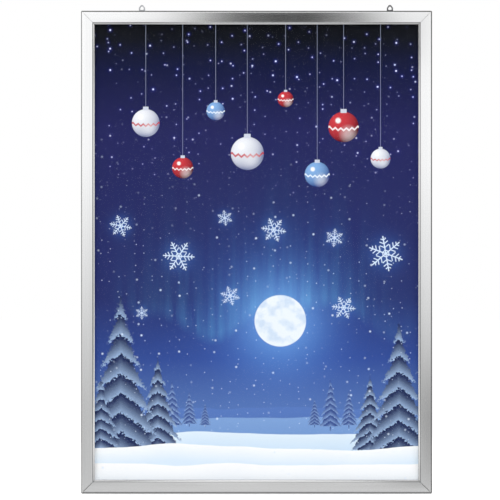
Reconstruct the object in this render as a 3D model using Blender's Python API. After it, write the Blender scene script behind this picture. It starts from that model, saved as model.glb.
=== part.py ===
"""A snap frame light box for a poster, hung on a wall by two eyes above its top rail.

Four mitred base rails carry an edge-lit stack: back panel, reflector, light guide, diffuser, poster
and clear cover. On each side a hinged snap rail closes over the poster's edge. The origin lies on
the rear foot of the top base rail, at its middle. +Z is up and the front faces -Y.

Every section is drawn by two measures: the inset, from the frame's outer edge towards its middle,
and the depth, from the wall towards the viewer.
"""

import math

import bmesh
import bpy
from mathutils import Matrix, Vector

# Poster format, and how much of it the closed rails cover
POSTER_WIDTH = 0.500
POSTER_HEIGHT = 0.700
POSTER_THICKNESS = 0.0003
POSTER_COVERED = 0.005

# Gaps between pieces, and the run of a cutter past what it cuts
FIT = 0.0003
POCKET_FIT = 0.0004
BASE_MITRE_GAP = 0.0003
SNAP_MITRE_GAP = 0.0006
OVERRUN = 0.0005

# Snap rail: a thin plate with a stepped lip and a leg that presses on the cover
SNAP_WIDTH = 0.021
SNAP_FACE_WIDTH = 0.0163
SNAP_THICKNESS = 0.0012
SNAP_CROWN = 0.0002
SNAP_EDGE_RUN = 0.0016
SNAP_STEP_WIDTH = 0.0004
SNAP_STEP_DROP = 0.0006
SNAP_LIP_DROP = 0.0024
SNAP_LEG_THICKNESS = 0.0014
RIB_INSET = 0.0080
RIB_THICKNESS = 0.0012
RIB_CLEARANCE = 0.0010

# Hinge: a round bead on the snap rail's neck, in the base rail's open socket
HINGE_INSET = 0.0032
BEAD_RADIUS = 0.0011
BEAD_TRIM = 0.004
NECK_THICKNESS = 0.0012
NECK_ROOT = 0.0004
SOCKET_WALL = 0.0011
SOCKET_SINK = 0.0001
SOCKET_START_DEGREES = 222
SOCKET_END_DEGREES = 410

# Base rail
WALL_SETBACK = 0.0010
WALL_THICKNESS = 0.0014
CHANNEL_LIP_THICKNESS = 0.0011
CHANNEL_LIP_REACH = 0.0023
WEB_THICKNESS = 0.0012
FOOT_THICKNESS = 0.0012
FOOT_WIDTH = 0.0032
LEDGE_THICKNESS = 0.0011
LEDGE_INSET_FROM_LIP = 0.0020
SHELF_THICKNESS = 0.0014
SHELF_GRIP = 0.0014
RIDGE_WIDTH = 0.0008
RIDGE_HEIGHT = 0.0013
FIN_THICKNESS = 0.0010
FIN_DROP = 0.0018
NIB_WIDTH = 0.0006
NIB_HEIGHT = 0.0006

# Sheets of the light stack, from the wall to the viewer
PANEL_THICKNESS = 0.0015
REFLECTOR_THICKNESS = 0.0003
GUIDE_THICKNESS = 0.0040
DIFFUSER_THICKNESS = 0.0012
COVER_THICKNESS = 0.0008

# Light strips on the fins of the top and bottom rails
BOARD_THICKNESS = 0.0012
BOARD_HEIGHT = 0.0062
CHIP_WIDTH = 0.0035
CHIP_HEIGHT = 0.0028
CHIP_DEPTH = 0.0007
CHIP_ROOT = 0.0002
CHIP_PITCH = 0.0155

# Corner cleats and their grub screws
CLEAT_WIDTH = 0.010
CLEAT_THICKNESS = 0.0014
CLEAT_ARM = 0.045
CLEAT_CORNER = 0.0025
GRUB_RADIUS = 0.0017
GRUB_ALONG = 0.030

# Spring clips between the rails
SPRING_LENGTH = 0.040
SPRING_SHEET = 0.0005
SPRING_BEND_RADIUS = 0.0015
SPRING_LEG = 0.0023
SPRING_TIP_DROP = 0.0008
SPRING_GAP_TO_RIB = 0.0007
SHORT_RAIL_SPRING_COUNT = 2
LONG_RAIL_SPRING_COUNT = 3

# Hangers: sheet eyes that slide along the top rail and are clamped to it
HANGER_SHEET = 0.0012
HANGER_WIDTH = 0.0103
HANGER_RISE = 0.0096
HANGER_SIDE_RISE = 0.0050
EYE_SIDE = 0.0025
EYE_FLOOR = 0.0006
EYE_STRAIGHT = 0.0030
EYE_CROWN = 0.0026
LEFT_HANGER_FROM_END = 0.0921
RIGHT_HANGER_FROM_END = 0.0635
SCREW_SHANK_RADIUS = 0.0015
SCREW_HEAD_RADIUS = 0.0025
SCREW_HEAD_HEIGHT = 0.0010
SCREW_HEAD_CHAMFER = 0.0003
SCREW_HEAD_INSET = 0.0002
NUT_WIDTH = 0.009

# Power inlet in the bottom rail's outer wall
JACK_FROM_END = 0.096
JACK_FLANGE_RIM = 0.0006
JACK_FLANGE_THICKNESS = 0.0006
JACK_BARREL_RADIUS = 0.0038
JACK_BARREL_LENGTH = 0.0085
JACK_BARREL_WALL = 0.0010
JACK_END_WALL = 0.0010
JACK_PIN_RADIUS = 0.0010
JACK_PIN_INSET = 0.0010

# Wires in the rails' inner chamber
WIRE_RADIUS = 0.00055
WIRE_SPACING = 0.0014
WIRE_BEND = 0.0025
WIRE_HOLE_RADIUS = 0.0020
SUPPLY_RUN = 0.028
LINK_HOLE_FROM_END = 0.045

# Facets: the most degrees that one facet of an arc turns through, and sides of turned pieces
ARC_STEP_DEGREES = 22
TURNED_SIDES = 20
SCREW_SIDES = 12

# Depths of the base rail's levels, from the wall to the viewer
HANGER_DEPTH = SCREW_HEAD_INSET + SCREW_HEAD_HEIGHT + FIT
LIP_REAR = HANGER_DEPTH + HANGER_SHEET + FIT
LIP_FRONT = LIP_REAR + CHANNEL_LIP_THICKNESS
CLEAT_DEPTH = LIP_FRONT + FIT
LEDGE_REAR = CLEAT_DEPTH + CLEAT_THICKNESS + FIT
LEDGE_FRONT = LEDGE_REAR + LEDGE_THICKNESS
PANEL_DEPTH = LEDGE_FRONT + FIT
REFLECTOR_DEPTH = PANEL_DEPTH + PANEL_THICKNESS + FIT
GUIDE_DEPTH = REFLECTOR_DEPTH + REFLECTOR_THICKNESS + FIT
DIFFUSER_DEPTH = GUIDE_DEPTH + GUIDE_THICKNESS + FIT
POSTER_DEPTH = DIFFUSER_DEPTH + DIFFUSER_THICKNESS + FIT
COVER_DEPTH = POSTER_DEPTH + POSTER_THICKNESS + FIT
SHELF_REAR = POSTER_DEPTH
SHELF_FRONT = SHELF_REAR + SHELF_THICKNESS
LEG_DEPTH = COVER_DEPTH + COVER_THICKNESS + FIT
CHAMBER_DEPTH = (LEDGE_FRONT + SHELF_REAR) / 2

# Depths of the hinge and of the closed snap rail
SOCKET_BORE = BEAD_RADIUS + FIT
SOCKET_OUTER = SOCKET_BORE + SOCKET_WALL
HINGE_DEPTH = SHELF_FRONT + SOCKET_OUTER - SOCKET_SINK
PLATE_REAR = HINGE_DEPTH + SOCKET_OUTER + FIT
PLATE_FRONT = PLATE_REAR + SNAP_THICKNESS
RIB_END = SHELF_FRONT + RIB_CLEARANCE

# Insets of the base rail's walls
POSTER_EDGE = SNAP_WIDTH - POSTER_COVERED
POCKET_WALL = POSTER_EDGE - POCKET_FIT
STACK_EDGE = POCKET_WALL - SHELF_GRIP
CHIP_EDGE = STACK_EDGE - FIT
BOARD_EDGE = CHIP_EDGE - CHIP_DEPTH
FIN_INNER = BOARD_EDGE - BOARD_THICKNESS - FIT
FIN_OUTER = FIN_INNER - FIN_THICKNESS
LEDGE_EDGE = SNAP_WIDTH - LEDGE_INSET_FROM_LIP
WALL_INNER = WALL_SETBACK + WALL_THICKNESS
CHANNEL_INNER = WALL_INNER + CLEAT_WIDTH + 2 * FIT
CHANNEL_MIDDLE = (WALL_INNER + CHANNEL_INNER) / 2
WEB_INNER = CHANNEL_INNER + WEB_THICKNESS
FOOT_OUTER = WEB_INNER - FOOT_WIDTH
SPRING_INSET = RIB_INSET + RIB_THICKNESS + SPRING_GAP_TO_RIB
CHAMBER_MIDDLE = (WALL_INNER + FIN_OUTER) / 2

# Overall frame, and the places along its rails that are measured from its ends
OUTER_WIDTH = POSTER_WIDTH + 2 * POSTER_EDGE
OUTER_HEIGHT = POSTER_HEIGHT + 2 * POSTER_EDGE
HANGER_PLACES = {
    "left": LEFT_HANGER_FROM_END - OUTER_WIDTH / 2,
    "right": OUTER_WIDTH / 2 - RIGHT_HANGER_FROM_END,
}
JACK_PLACE = OUTER_WIDTH / 2 - JACK_FROM_END

# Radii of the inlet on either side of its barrel's wall
JACK_FLANGE_RADIUS = JACK_BARREL_RADIUS + JACK_FLANGE_RIM
JACK_BORE_RADIUS = JACK_BARREL_RADIUS - JACK_BARREL_WALL
FRAME_TOP = WEB_INNER - FOOT_WIDTH / 2
FRAME_MIDDLE = FRAME_TOP - OUTER_HEIGHT / 2

# Each side's place, its turn about Y, and half its length
SIDES = {
    "top": ((0, 0, FRAME_TOP), 0, OUTER_WIDTH / 2),
    "bottom": ((0, 0, FRAME_TOP - OUTER_HEIGHT), math.pi, OUTER_WIDTH / 2),
    "left": ((-OUTER_WIDTH / 2, 0, FRAME_MIDDLE), -math.pi / 2, OUTER_HEIGHT / 2),
    "right": ((OUTER_WIDTH / 2, 0, FRAME_MIDDLE), math.pi / 2, OUTER_HEIGHT / 2),
}

# Finishes: colour, roughness, metallic, alpha
ANODISED = ((0.72, 0.73, 0.74), 0.32, 1.0, 1.0)
MILL_ALUMINIUM = ((0.62, 0.63, 0.64), 0.45, 1.0, 1.0)
ZINC_STEEL = ((0.52, 0.53, 0.55), 0.35, 1.0, 1.0)
SPRING_STEEL = ((0.36, 0.37, 0.40), 0.30, 1.0, 1.0)
BRASS = ((0.72, 0.55, 0.25), 0.30, 1.0, 1.0)
BLACK_PLASTIC = ((0.02, 0.02, 0.022), 0.45, 0.0, 1.0)
WHITE_SHEET = ((0.80, 0.80, 0.79), 0.50, 0.0, 1.0)
GREY_SHEET = ((0.55, 0.56, 0.57), 0.50, 0.0, 1.0)
GUIDE_ACRYLIC = ((0.85, 0.88, 0.90), 0.08, 0.0, 0.6)
CLEAR_SHEET = ((0.92, 0.94, 0.96), 0.12, 0.0, 0.12)
NIGHT_PRINT = ((0.030, 0.040, 0.150), 0.40, 0.0, 1.0)
CHIP_YELLOW = ((0.85, 0.72, 0.20), 0.40, 0.0, 1.0)
RED_WIRE = ((0.60, 0.03, 0.03), 0.45, 0.0, 1.0)
BLACK_WIRE = ((0.02, 0.02, 0.02), 0.45, 0.0, 1.0)


def clear_scene():
    for old in list(bpy.data.objects):
        bpy.data.objects.remove(old, do_unlink=True)


def give_finish(piece, finish):
    """Gives the piece its own Principled material."""
    colour, roughness, metallic, alpha = finish
    material = bpy.data.materials.new(piece.name + "_finish")
    material.use_nodes = True
    shader = material.node_tree.nodes["Principled BSDF"]
    shader.inputs["Base Color"].default_value = (*colour, 1)
    shader.inputs["Roughness"].default_value = roughness
    shader.inputs["Metallic"].default_value = metallic
    shader.inputs["Alpha"].default_value = alpha
    piece.data.materials.clear()
    piece.data.materials.append(material)


def add_piece(name, data, seat, finish, location=(0, 0, 0)):
    """Adds a named object on its seat, which is the empty of a side or of the whole frame."""
    piece = bpy.data.objects.new(name, data)
    bpy.context.scene.collection.objects.link(piece)
    piece.parent = seat
    piece.location = location
    give_finish(piece, finish)
    return piece


def make_helper(piece):
    """Leaves a cutter or a part of a union out of the finished model."""
    piece.hide_render = True
    piece.display_type = "WIRE"
    return piece


def combine(piece, helper, operation):
    """Joins the helper to the piece, or cuts it out of the piece."""
    make_helper(helper)
    boolean = piece.modifiers.new(helper.name, "BOOLEAN")
    boolean.operation = operation
    boolean.object = helper


def mesh_of(name, points, faces):
    """A closed mesh with its faces pointing out, its facets smooth where they turn gently."""
    build = bmesh.new()
    corners = [build.verts.new(point) for point in points]
    for face in faces:
        build.faces.new([corners[index] for index in face])
    bmesh.ops.recalc_face_normals(build, faces=build.faces)
    mesh = bpy.data.meshes.new(name)
    build.to_mesh(mesh)
    build.free()
    mesh.shade_smooth()
    mesh.set_sharp_from_angle(angle=math.radians(ARC_STEP_DEGREES * 1.5))
    return mesh


def arc(centre, radii, start, end):
    """Points of a circle's or an ellipse's arc, from one angle to another, in degrees."""
    steps = max(2, math.ceil(abs(end - start) / ARC_STEP_DEGREES))
    angles = [math.radians(start + (end - start) * step / steps) for step in range(steps + 1)]
    return [(centre[0] + radii[0] * math.cos(angle), centre[1] + radii[1] * math.sin(angle))
            for angle in angles]


def circle(centre, radius):
    """A whole circle's points, each once."""
    return arc(centre, (radius, radius), 0, 360)[:-1]


def bar_mesh(name, outline, reach, origin=(0, 0)):
    """A bar along X with a section in inset and depth. reach(inset) is half its length there."""
    count = len(outline)
    points = []
    for end in (-1, 1):
        for inset, depth in outline:
            points.append((end * reach(inset), origin[1] - depth, origin[0] - inset))
    faces = [[step, (step + 1) % count, (step + 1) % count + count, step + count]
             for step in range(count)]
    faces.append(list(range(count)))
    faces.append(list(range(count, 2 * count)))
    return mesh_of(name, points, faces)


def mitred(half_length, gap):
    """The reach of a bar whose ends are cut at 45 degrees, with the gap between two such ends."""
    return lambda inset: half_length - inset - gap / math.sqrt(2)


def plate_mesh(name, loops, thickness):
    """A flat plate in X and Z with an outline and holes, which grows by its thickness to the front."""
    build = bmesh.new()
    edges = []
    for loop in loops:
        corners = [build.verts.new((across, 0, up)) for across, up in loop]
        edges += [build.edges.new((corners[index - 1], corners[index])) for index in range(len(corners))]
    bmesh.ops.triangle_fill(build, use_beauty=True, edges=edges)
    grown = bmesh.ops.extrude_face_region(build, geom=build.faces[:])
    front = [item for item in grown["geom"] if isinstance(item, bmesh.types.BMVert)]
    bmesh.ops.translate(build, verts=front, vec=(0, -thickness, 0))
    bmesh.ops.recalc_face_normals(build, faces=build.faces)
    mesh = bpy.data.meshes.new(name)
    build.to_mesh(mesh)
    build.free()
    return mesh


def turned_mesh(name, profile, sides):
    """A piece turned about Z, from a profile of radius and height that starts and ends on the axis."""
    points = []
    rings = []
    for radius, height in profile:
        count = sides if radius else 1
        turns = [2 * math.pi * index / sides for index in range(count)]
        rings.append(list(range(len(points), len(points) + count)))
        points += [(radius * math.cos(turn), radius * math.sin(turn), height) for turn in turns]
    faces = []
    for lower, upper in zip(rings, rings[1:]):
        for index in range(sides):
            after = (index + 1) % sides
            face = [lower[index % len(lower)], lower[after % len(lower)],
                    upper[after % len(upper)], upper[index % len(upper)]]
            faces.append(list(dict.fromkeys(face)))
    return mesh_of(name, points, faces)


def add_seats():
    """The empties that carry each side's pieces, and one for the pieces at the frame's middle."""
    seats = {}
    for side, (place, turn, _) in SIDES.items():
        seats[side] = bpy.data.objects.new("side_" + side, None)
        seats[side].location = place
        seats[side].rotation_euler = (0, turn, 0)
    seats["middle"] = bpy.data.objects.new("frame_middle", None)
    seats["middle"].location = (0, 0, FRAME_MIDDLE)
    for seat in seats.values():
        bpy.context.scene.collection.objects.link(seat)
    return seats


def rail_point(side, along, inset, depth):
    """The place in the world of a point given on one side of the frame."""
    place, turn, _ = SIDES[side]
    return Vector(place) + Matrix.Rotation(turn, 3, "Y") @ Vector((along, -depth, -inset))


def socket_outline():
    """The open socket from the outer wall's top, round its bore and back to the shelf."""
    centre = (HINGE_INSET, HINGE_DEPTH)
    foot = -math.degrees(math.asin((HINGE_DEPTH - SHELF_FRONT) / SOCKET_OUTER))
    outer_start = arc(centre, (SOCKET_OUTER, SOCKET_OUTER), SOCKET_START_DEGREES, SOCKET_START_DEGREES)[0]
    bore = arc(centre, (SOCKET_BORE, SOCKET_BORE), SOCKET_START_DEGREES, SOCKET_END_DEGREES)
    outside = arc(centre, (SOCKET_OUTER, SOCKET_OUTER), SOCKET_END_DEGREES - 360, foot)
    return [outer_start] + bore + outside


def shelf_outline():
    """The shelf's front with the springs' nib and the pocket's ridge, down to its rear edge."""
    nib = SPRING_INSET - FIT - NIB_WIDTH
    ridge = POCKET_WALL - RIDGE_WIDTH
    return [
        (nib, SHELF_FRONT),
        (nib, SHELF_FRONT + NIB_HEIGHT),
        (nib + NIB_WIDTH, SHELF_FRONT + NIB_HEIGHT),
        (nib + NIB_WIDTH, SHELF_FRONT),
        (ridge, SHELF_FRONT),
        (ridge, SHELF_FRONT + RIDGE_HEIGHT),
        (POCKET_WALL, SHELF_FRONT + RIDGE_HEIGHT),
        (POCKET_WALL, SHELF_REAR),
        (WALL_INNER, SHELF_REAR),
    ]


def ledge_outline():
    """The ledge's front with the light strip's fin, then round its edge to the web."""
    fin_top = SHELF_REAR - FIN_DROP
    return [
        (WALL_INNER, LEDGE_FRONT),
        (FIN_OUTER, LEDGE_FRONT),
        (FIN_OUTER, fin_top),
        (FIN_INNER, fin_top),
        (FIN_INNER, LEDGE_FRONT),
        (LEDGE_EDGE, LEDGE_FRONT),
        (LEDGE_EDGE, LEDGE_REAR),
        (WEB_INNER, LEDGE_REAR),
    ]


def channel_outline():
    """The rear foot and the channel for cleats and hangers, with a lip on either side of its slot."""
    inner_lip = CHANNEL_INNER - CHANNEL_LIP_REACH
    outer_lip = WALL_INNER + CHANNEL_LIP_REACH
    return [
        (WEB_INNER, 0),
        (FOOT_OUTER, 0),
        (FOOT_OUTER, FOOT_THICKNESS),
        (CHANNEL_INNER, FOOT_THICKNESS),
        (CHANNEL_INNER, LIP_REAR),
        (inner_lip, LIP_REAR),
        (inner_lip, LIP_FRONT),
        (CHANNEL_INNER, LIP_FRONT),
        (CHANNEL_INNER, LEDGE_REAR),
        (WALL_INNER, LEDGE_REAR),
        (WALL_INNER, LIP_FRONT),
        (outer_lip, LIP_FRONT),
        (outer_lip, LIP_REAR),
        (WALL_SETBACK, LIP_REAR),
        (WALL_SETBACK, SHELF_FRONT),
    ]


def base_outline():
    return socket_outline() + shelf_outline() + ledge_outline() + channel_outline()


def face_outline():
    """The snap plate's rounded outer edge and its gently crowned face."""
    outer_edge = arc((SNAP_EDGE_RUN, PLATE_REAR), (SNAP_EDGE_RUN, SNAP_THICKNESS), 180, 90)
    crown_steps = 6
    crown = []
    for step in range(1, crown_steps + 1):
        share = step / crown_steps
        rise = SNAP_CROWN * (1 - (2 * share - 1) ** 2)
        crown.append((SNAP_EDGE_RUN + (SNAP_FACE_WIDTH - SNAP_EDGE_RUN) * share, PLATE_FRONT + rise))
    return outer_edge + crown


def lip_outline():
    """The snap plate's lip: a step, a rounded bevel, the leg, and the underside back to the plate."""
    step_inset = SNAP_FACE_WIDTH + SNAP_STEP_WIDTH
    bevel_depth = PLATE_FRONT - SNAP_STEP_DROP - SNAP_LIP_DROP
    bevel_run = SNAP_WIDTH - step_inset
    under_run = bevel_run - SNAP_LEG_THICKNESS
    under_drop = SNAP_LIP_DROP - SNAP_THICKNESS
    bevel = arc((step_inset, bevel_depth), (bevel_run, SNAP_LIP_DROP), 90, 0)
    under = arc((step_inset, bevel_depth), (under_run, under_drop), 0, 90)
    leg = [(SNAP_WIDTH, LEG_DEPTH), (SNAP_WIDTH - SNAP_LEG_THICKNESS, LEG_DEPTH)]
    return bevel + leg + under + [(SNAP_FACE_WIDTH - SNAP_STEP_WIDTH, PLATE_REAR)]


def rib_outline():
    """The rib under the snap plate, which the springs push against."""
    inner = RIB_INSET + RIB_THICKNESS
    return [(inner, PLATE_REAR), (inner, RIB_END), (RIB_INSET, RIB_END), (RIB_INSET, PLATE_REAR)]


def bead_outline():
    """The bead round the hinge's axis, and the neck up into the plate."""
    half_neck = NECK_THICKNESS / 2
    open_degrees = math.degrees(math.asin(half_neck / BEAD_RADIUS))
    centre = (HINGE_INSET, HINGE_DEPTH)
    bead = arc(centre, (BEAD_RADIUS, BEAD_RADIUS), 90 + open_degrees, 450 - open_degrees)
    root = PLATE_REAR + NECK_ROOT
    return bead + [(HINGE_INSET + half_neck, root), (HINGE_INSET - half_neck, root)]


def add_base_rail(side, seat):
    """One base rail. It is an extrusion, so each rail differs only in its length."""
    reach = mitred(SIDES[side][2], BASE_MITRE_GAP)
    mesh = bar_mesh("base_rail_" + side, base_outline(), reach)
    return add_piece("base_rail_" + side, mesh, seat, ANODISED)


def add_snap_rail(side, seat):
    """One snap rail, with its origin on the hinge's axis. Its bead stops short of the mitres."""
    axis = (HINGE_INSET, HINGE_DEPTH)
    on_axis = (0, -HINGE_DEPTH, -HINGE_INSET)
    reach = mitred(SIDES[side][2], SNAP_MITRE_GAP)
    mesh = bar_mesh("snap_rail_" + side, face_outline() + lip_outline() + rib_outline(), reach, axis)
    rail = add_piece("snap_rail_" + side, mesh, seat, ANODISED, on_axis)
    bead_reach = reach(HINGE_INSET) - BEAD_TRIM
    bead = bar_mesh("bead_" + side, bead_outline(), lambda inset: bead_reach, axis)
    combine(rail, add_piece("bead_" + side, bead, seat, ANODISED, on_axis), "UNION")
    return rail


def spring_outline():
    """A hairpin of spring sheet: a leg on the shelf, a round bend, and a leg up to the rib."""
    half = SPRING_SHEET / 2
    seat = SHELF_FRONT + FIT + half
    bend = (SPRING_INSET + SPRING_LEG, seat + SPRING_BEND_RADIUS)
    turn = [math.radians(angle) for angle in range(-90, 91, 30)]
    middle = [(SPRING_INSET, seat)]
    middle += [(bend[0] + SPRING_BEND_RADIUS * math.cos(angle),
                bend[1] + SPRING_BEND_RADIUS * math.sin(angle)) for angle in turn]
    middle.append((SPRING_INSET + half, bend[1] + SPRING_BEND_RADIUS - SPRING_TIP_DROP))
    return thickened(middle, half)


def thickened(middle, half):
    """A strip's outline, from its middle line and half its thickness."""
    left = []
    right = []
    for index, point in enumerate(middle):
        before = middle[max(index - 1, 0)]
        after = middle[min(index + 1, len(middle) - 1)]
        run = Vector((after[0] - before[0], after[1] - before[1])).normalized()
        left.append((point[0] - run.y * half, point[1] + run.x * half))
        right.append((point[0] + run.y * half, point[1] - run.x * half))
    return left + right[::-1]


def add_springs(side, seat):
    """A row of spring clips, evenly spaced along the side."""
    half_length = SIDES[side][2]
    long_side = side in ("left", "right")
    count = LONG_RAIL_SPRING_COUNT if long_side else SHORT_RAIL_SPRING_COUNT
    for index in range(count):
        name = "spring_clip_" + side + "_" + str(index + 1)
        mesh = bar_mesh(name, spring_outline(), lambda inset: SPRING_LENGTH / 2)
        along = 2 * half_length * ((index + 1 / 2) / count - 1 / 2)
        add_piece(name, mesh, seat, SPRING_STEEL, (along, 0, 0))


def add_cleat(corner, seats):
    """One flat corner cleat in the rear channels, and the grub screw that clamps each of its arms."""
    side_up = 1 if corner.startswith("top") else -1
    side_across = 1 if corner.endswith("right") else -1
    edge = WALL_INNER + FIT
    inner = edge + CLEAT_WIDTH
    end = edge + CLEAT_ARM
    outline = [(edge + CLEAT_CORNER, edge), (end, edge), (end, inner), (inner, inner), (inner, end),
               (edge, end), (edge, edge + CLEAT_CORNER)]
    places = [(edge + GRUB_ALONG, CHANNEL_MIDDLE), (CHANNEL_MIDDLE, edge + GRUB_ALONG)]
    holes = [circle(place, GRUB_RADIUS + FIT) for place in places]
    loops = [[(side_across * (OUTER_WIDTH / 2 - x), side_up * (OUTER_HEIGHT / 2 - z)) for x, z in loop]
             for loop in [outline] + holes]
    mesh = plate_mesh("corner_cleat_" + corner, loops, CLEAT_THICKNESS)
    add_piece("corner_cleat_" + corner, mesh, seats["middle"], MILL_ALUMINIUM, (0, -CLEAT_DEPTH, 0))
    for number, (x, z) in enumerate(places, 1):
        name = "cleat_screw_" + corner + "_" + str(number)
        mesh = plate_mesh(name, [circle((0, 0), GRUB_RADIUS)], CLEAT_THICKNESS + FIT)
        place = (side_across * (OUTER_WIDTH / 2 - x), -CLEAT_DEPTH, side_up * (OUTER_HEIGHT / 2 - z))
        add_piece(name, mesh, seats["middle"], ZINC_STEEL, place)


def add_cleats(seats):
    for corner in ("top_left", "top_right", "bottom_left", "bottom_right"):
        add_cleat(corner, seats)


def add_sheet(name, edge, depth, thickness, finish, seats):
    """A flat rectangular sheet whose edges lie at one inset all round."""
    across = OUTER_WIDTH / 2 - edge
    up = OUTER_HEIGHT / 2 - edge
    outline = [(-across, -up), (across, -up), (across, up), (-across, up)]
    mesh = plate_mesh(name, [outline], thickness)
    return add_piece(name, mesh, seats["middle"], finish, (0, -depth, 0))


def add_light_stack(seats):
    add_sheet("back_panel", STACK_EDGE, PANEL_DEPTH, PANEL_THICKNESS, GREY_SHEET, seats)
    add_sheet("reflector_sheet", STACK_EDGE, REFLECTOR_DEPTH, REFLECTOR_THICKNESS, WHITE_SHEET, seats)
    add_sheet("light_guide", STACK_EDGE, GUIDE_DEPTH, GUIDE_THICKNESS, GUIDE_ACRYLIC, seats)
    add_sheet("diffuser_sheet", STACK_EDGE, DIFFUSER_DEPTH, DIFFUSER_THICKNESS, WHITE_SHEET, seats)
    add_sheet("poster_sheet", POSTER_EDGE, POSTER_DEPTH, POSTER_THICKNESS, NIGHT_PRINT, seats)
    add_sheet("cover_sheet", POSTER_EDGE, COVER_DEPTH, COVER_THICKNESS, CLEAR_SHEET, seats)


def box_outline(inset, depth, inset_size, depth_size):
    """A rectangle in section, from its least inset and depth."""
    return [(inset, depth), (inset + inset_size, depth), (inset + inset_size, depth + depth_size),
            (inset, depth + depth_size)]


def add_light_strip(side, seat):
    """A circuit board on the rail's fin, with its row of light chips at the guide's edge."""
    half_board = SIDES[side][2] - STACK_EDGE
    board = box_outline(BOARD_EDGE - BOARD_THICKNESS, PANEL_DEPTH, BOARD_THICKNESS, BOARD_HEIGHT)
    mesh = bar_mesh("led_strip_" + side, board, lambda inset: half_board)
    strip = add_piece("led_strip_" + side, mesh, seat, WHITE_SHEET)
    chip_depth = GUIDE_DEPTH + (GUIDE_THICKNESS - CHIP_HEIGHT) / 2
    chip = box_outline(BOARD_EDGE - CHIP_ROOT, chip_depth, CHIP_DEPTH + CHIP_ROOT, CHIP_HEIGHT)
    chip_mesh = bar_mesh("chip", chip, lambda inset: CHIP_WIDTH / 2)
    count = int((2 * half_board - CHIP_WIDTH) / CHIP_PITCH) + 1
    row = bmesh.new()
    for index in range(count):
        before = len(row.verts)
        row.from_mesh(chip_mesh)
        row.verts.ensure_lookup_table()
        along = (index - (count - 1) / 2) * CHIP_PITCH
        bmesh.ops.translate(row, verts=row.verts[before:], vec=(along, 0, 0))
    mesh = bpy.data.meshes.new("chips_" + side)
    row.to_mesh(mesh)
    row.free()
    combine(strip, add_piece("chips_" + side, mesh, seat, CHIP_YELLOW), "UNION")


def cut_rod(rail, name, seat, along, radius, start, end):
    """Cuts a round hole through the rail's walls, from one inset to another, at the chamber's depth."""
    profile = [(0, -start), (radius, -start), (radius, -end), (0, -end)]
    mesh = turned_mesh(name, profile, TURNED_SIDES)
    cutter = add_piece(name, mesh, seat, BLACK_PLASTIC, (along, -CHAMBER_DEPTH, 0))
    combine(rail, cutter, "DIFFERENCE")


def cut_wire_hole(rail, name, seat, along):
    cut_rod(rail, name, seat, along, WIRE_HOLE_RADIUS, FIN_OUTER - OVERRUN, FIN_INNER + OVERRUN)


def add_jack(rail, seat):
    """The power inlet: a flanged barrel with a bore, through the outer wall, and its centre pin."""
    face = WALL_SETBACK - FIT - JACK_FLANGE_THICKNESS
    shoulder = face + JACK_FLANGE_THICKNESS
    end = face + JACK_BARREL_LENGTH
    floor = end - JACK_END_WALL
    place = (-JACK_PLACE, -CHAMBER_DEPTH, 0)
    barrel = [(0, -end), (JACK_BARREL_RADIUS, -end), (JACK_BARREL_RADIUS, -shoulder),
              (JACK_FLANGE_RADIUS, -shoulder), (JACK_FLANGE_RADIUS, -face), (JACK_BORE_RADIUS, -face),
              (JACK_BORE_RADIUS, -floor), (0, -floor)]
    add_piece("dc_jack", turned_mesh("dc_jack", barrel, TURNED_SIDES), seat, BLACK_PLASTIC, place)
    tip = face + JACK_PIN_INSET
    pin = [(0, -(floor - FIT)), (JACK_PIN_RADIUS, -(floor - FIT)),
           (JACK_PIN_RADIUS, -(tip + JACK_PIN_RADIUS / 2)), (JACK_PIN_RADIUS / 2, -tip), (0, -tip)]
    add_piece("dc_jack_pin", turned_mesh("dc_jack_pin", pin, SCREW_SIDES), seat, BRASS, place)
    hole = JACK_BARREL_RADIUS + FIT
    cut_rod(rail, "jack_hole", seat, -JACK_PLACE, hole, -OVERRUN, end + FIT)


def rounded_route(corners):
    """A route through the corners with each one rounded off, so that the wire bends softly."""
    route = [corners[0]]
    for before, corner, after in zip(corners, corners[1:], corners[2:]):
        start = corner + (before - corner).normalized() * WIRE_BEND
        end = corner + (after - corner).normalized() * WIRE_BEND
        for step in range(5):
            share = step / 4
            route.append(start * (1 - share) ** 2 + corner * 2 * share * (1 - share) + end * share ** 2)
    route.append(corners[-1])
    return route


def add_wire(name, corners, finish, seat):
    """A thin insulated wire as a tube along its rounded route."""
    curve = bpy.data.curves.new(name, "CURVE")
    curve.dimensions = "3D"
    curve.bevel_depth = WIRE_RADIUS
    curve.bevel_resolution = 1
    curve.use_fill_caps = True
    spline = curve.splines.new("POLY")
    route = [point - seat.location for point in rounded_route(corners)]
    spline.points.add(len(route) - 1)
    for point, place in zip(spline.points, route):
        point.co = (*place, 1)
    return add_piece(name, curve, seat, finish)


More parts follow.
